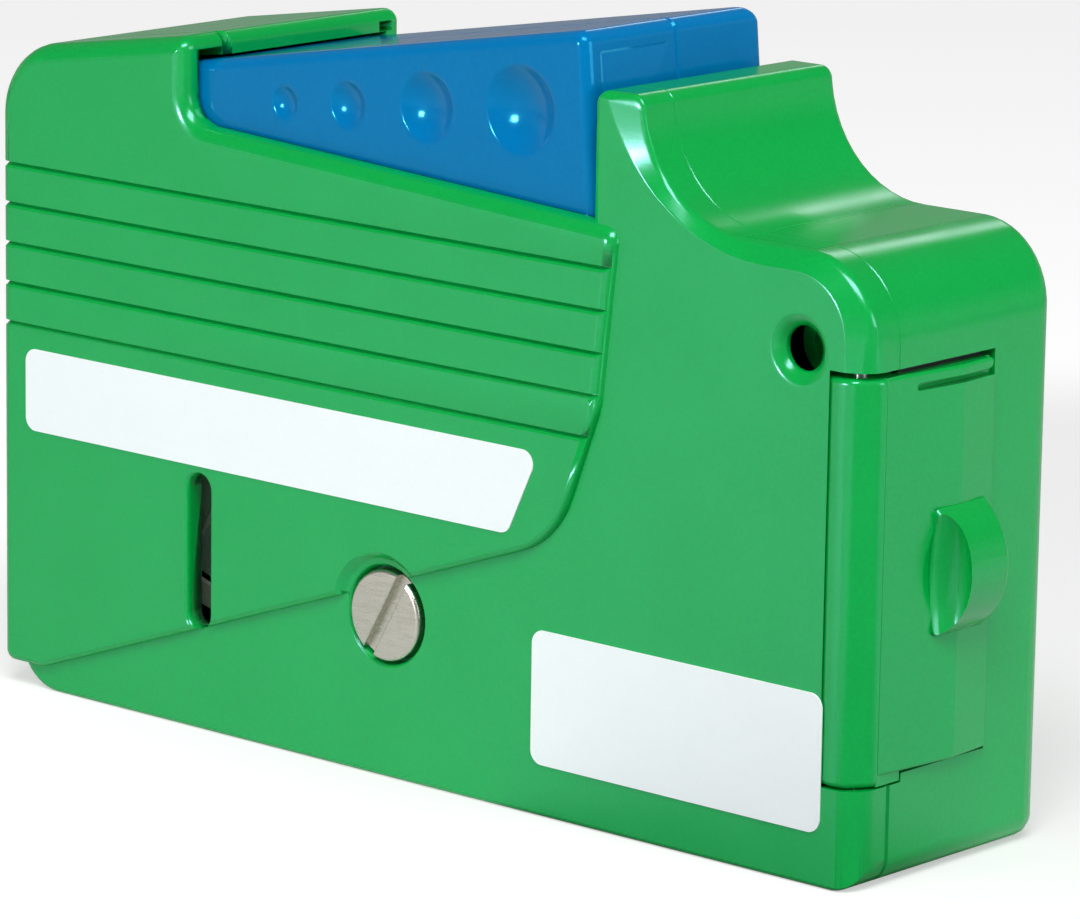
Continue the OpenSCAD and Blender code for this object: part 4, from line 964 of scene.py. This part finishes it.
def place_camera():
    az, el, roll = (math.radians(v) for v in (AZIMUTH, ELEVATION, ROLL))
    back = Vector((math.sin(az) * math.cos(el), -math.cos(az) * math.cos(el), math.sin(el)))
    level = Vector((math.cos(az), math.sin(az), 0))
    steep = back.cross(level)
    right = math.cos(roll) * level + math.sin(roll) * steep
    up = -math.sin(roll) * level + math.cos(roll) * steep
    cam = link(bpy.data.objects.new("camera", bpy.data.cameras.new("camera")))
    cam.data.sensor_fit = "HORIZONTAL"
    cam.data.sensor_width = SENSOR
    cam.data.lens = FOCAL_PX / WIDTH_PX * SENSOR
    cam.data.clip_start, cam.data.clip_end = CLIP
    place = Matrix((right, up, back)).transposed().to_4x4()
    place.translation = (Vector(TARGET) + back * DISTANCE) * MM
    cam.matrix_world = place
    scene.camera = cam


place_camera()

# Floor, world and lamps, with places and sizes in metres and power in watts

FLOOR_HALF = 3.0
FLOOR_DROP = 0.00002
LAMPS = [
    ("key", (0.40, -0.47, 0.84), (0.55, 0.4), 8.7),
    ("spark", (-0.2, -0.96, 0.212), (0.1, 0.06), 1.8),
    ("glint", (-0.2, -0.96, 0.212), (0.17, 0.13), 4.5),
    ("fill", (1.0, 0.1, 0.3), (0.5, 0.5), 3.3),
    ("back", (-0.42, 0.85, 0.62), (0.3, 0.1), 0.35),
]
AIM = (0, 0, 0.035)


def floor_material():
    """Pale to the camera, with a painted shadow where its glow dims near the object. To all else it has a
    dark wedge on the right.
    """
    mat = bpy.data.materials.new("pale_floor")
    mat.use_nodes = True
    tree = mat.node_tree
    node, links = tree.nodes, tree.links
    node.clear()
    place = node.new("ShaderNodeTexCoord").outputs["Object"]
    bearing = vector_math(tree, "NORMALIZE", place, output="Vector")
    toward_right = vector_math(tree, "DOT_PRODUCT", bearing, (0.92, -0.39, 0))
    shadow_spot_distance = vector_math(tree, "DISTANCE", place, (0.02, 0.11, 0))
    plain = node.new("ShaderNodeBsdfDiffuse")
    links.new(remap(tree, toward_right, (0.84, 0.96), (0.84, 0.26)), plain.inputs["Color"])
    seen = node.new("ShaderNodeBsdfDiffuse")
    seen.inputs["Color"].default_value = (0.55, 0.55, 0.55, 1)
    glow = node.new("ShaderNodeEmission")
    glow.inputs["Color"].default_value = (1, 1, 1, 1)
    # Painted shadow: the glow dims close to a point just behind the object, while the diffuse part takes the
    # real shadow
    links.new(remap(tree, shadow_spot_distance, (0.11, 0.17), (0.44, 0.62), "SMOOTHSTEP"), glow.inputs["Strength"])
    both = node.new("ShaderNodeAddShader")
    links.new(seen.outputs[0], both.inputs[0])
    links.new(glow.outputs[0], both.inputs[1])
    mix = node.new("ShaderNodeMixShader")
    links.new(node.new("ShaderNodeLightPath").outputs["Is Camera Ray"], mix.inputs["Fac"])
    links.new(plain.outputs[0], mix.inputs[1])
    links.new(both.outputs[0], mix.inputs[2])
    links.new(mix.outputs[0], node.new("ShaderNodeOutputMaterial").inputs["Surface"])
    return mat


def floor():
    corners = [(x * FLOOR_HALF / MM, y * FLOOR_HALF / MM, 0) for x, y in ((-1, -1), (1, -1), (1, 1), (-1, 1))]
    obj = mesh_object("floor", corners, [(0, 1, 2, 3)])
    obj.location.z = -FLOOR_DROP
    obj.data.materials.append(floor_material())


def world():
    """White to the camera. To all else a grey that darkens with height."""
    studio = bpy.data.worlds.new("studio")
    scene.world = studio
    studio.use_nodes = True
    tree = studio.node_tree
    node, links = tree.nodes, tree.links
    back = node["Background"]
    back.inputs["Strength"].default_value = 1.0
    path = node.new("ShaderNodeLightPath")
    seen = computed(tree, "MAXIMUM", path.outputs["Is Camera Ray"], path.outputs["Is Transmission Ray"])
    height = axis_part(tree, node.new("ShaderNodeTexCoord").outputs["Generated"], "Z")
    grey = remap(tree, height, (0.05, 0.34), (0.45, 0.15), "SMOOTHSTEP")
    mix = colour_mix(tree, seen)
    links.new(grey, mix.inputs["A"])
    mix.inputs["B"].default_value = (1, 1, 1, 1)
    links.new(mix.outputs["Result"], back.inputs["Color"])


def area(name, at, size, power):
    lamp = bpy.data.lights.new(name, "AREA")
    lamp.shape = "RECTANGLE"
    lamp.size, lamp.size_y = size
    lamp.energy = power
    obj = link(bpy.data.objects.new(name, lamp))
    obj.location = at
    obj.rotation_mode = "QUATERNION"
    obj.rotation_quaternion = (Vector(AIM) - Vector(at)).to_track_quat("-Z", "Y")


floor()
world()
for lamp_name, lamp_at, lamp_size, lamp_power in LAMPS:
    area(lamp_name, lamp_at, lamp_size, lamp_power)

# The glint shows in reflections only
scene.objects["glint"].visible_diffuse = False
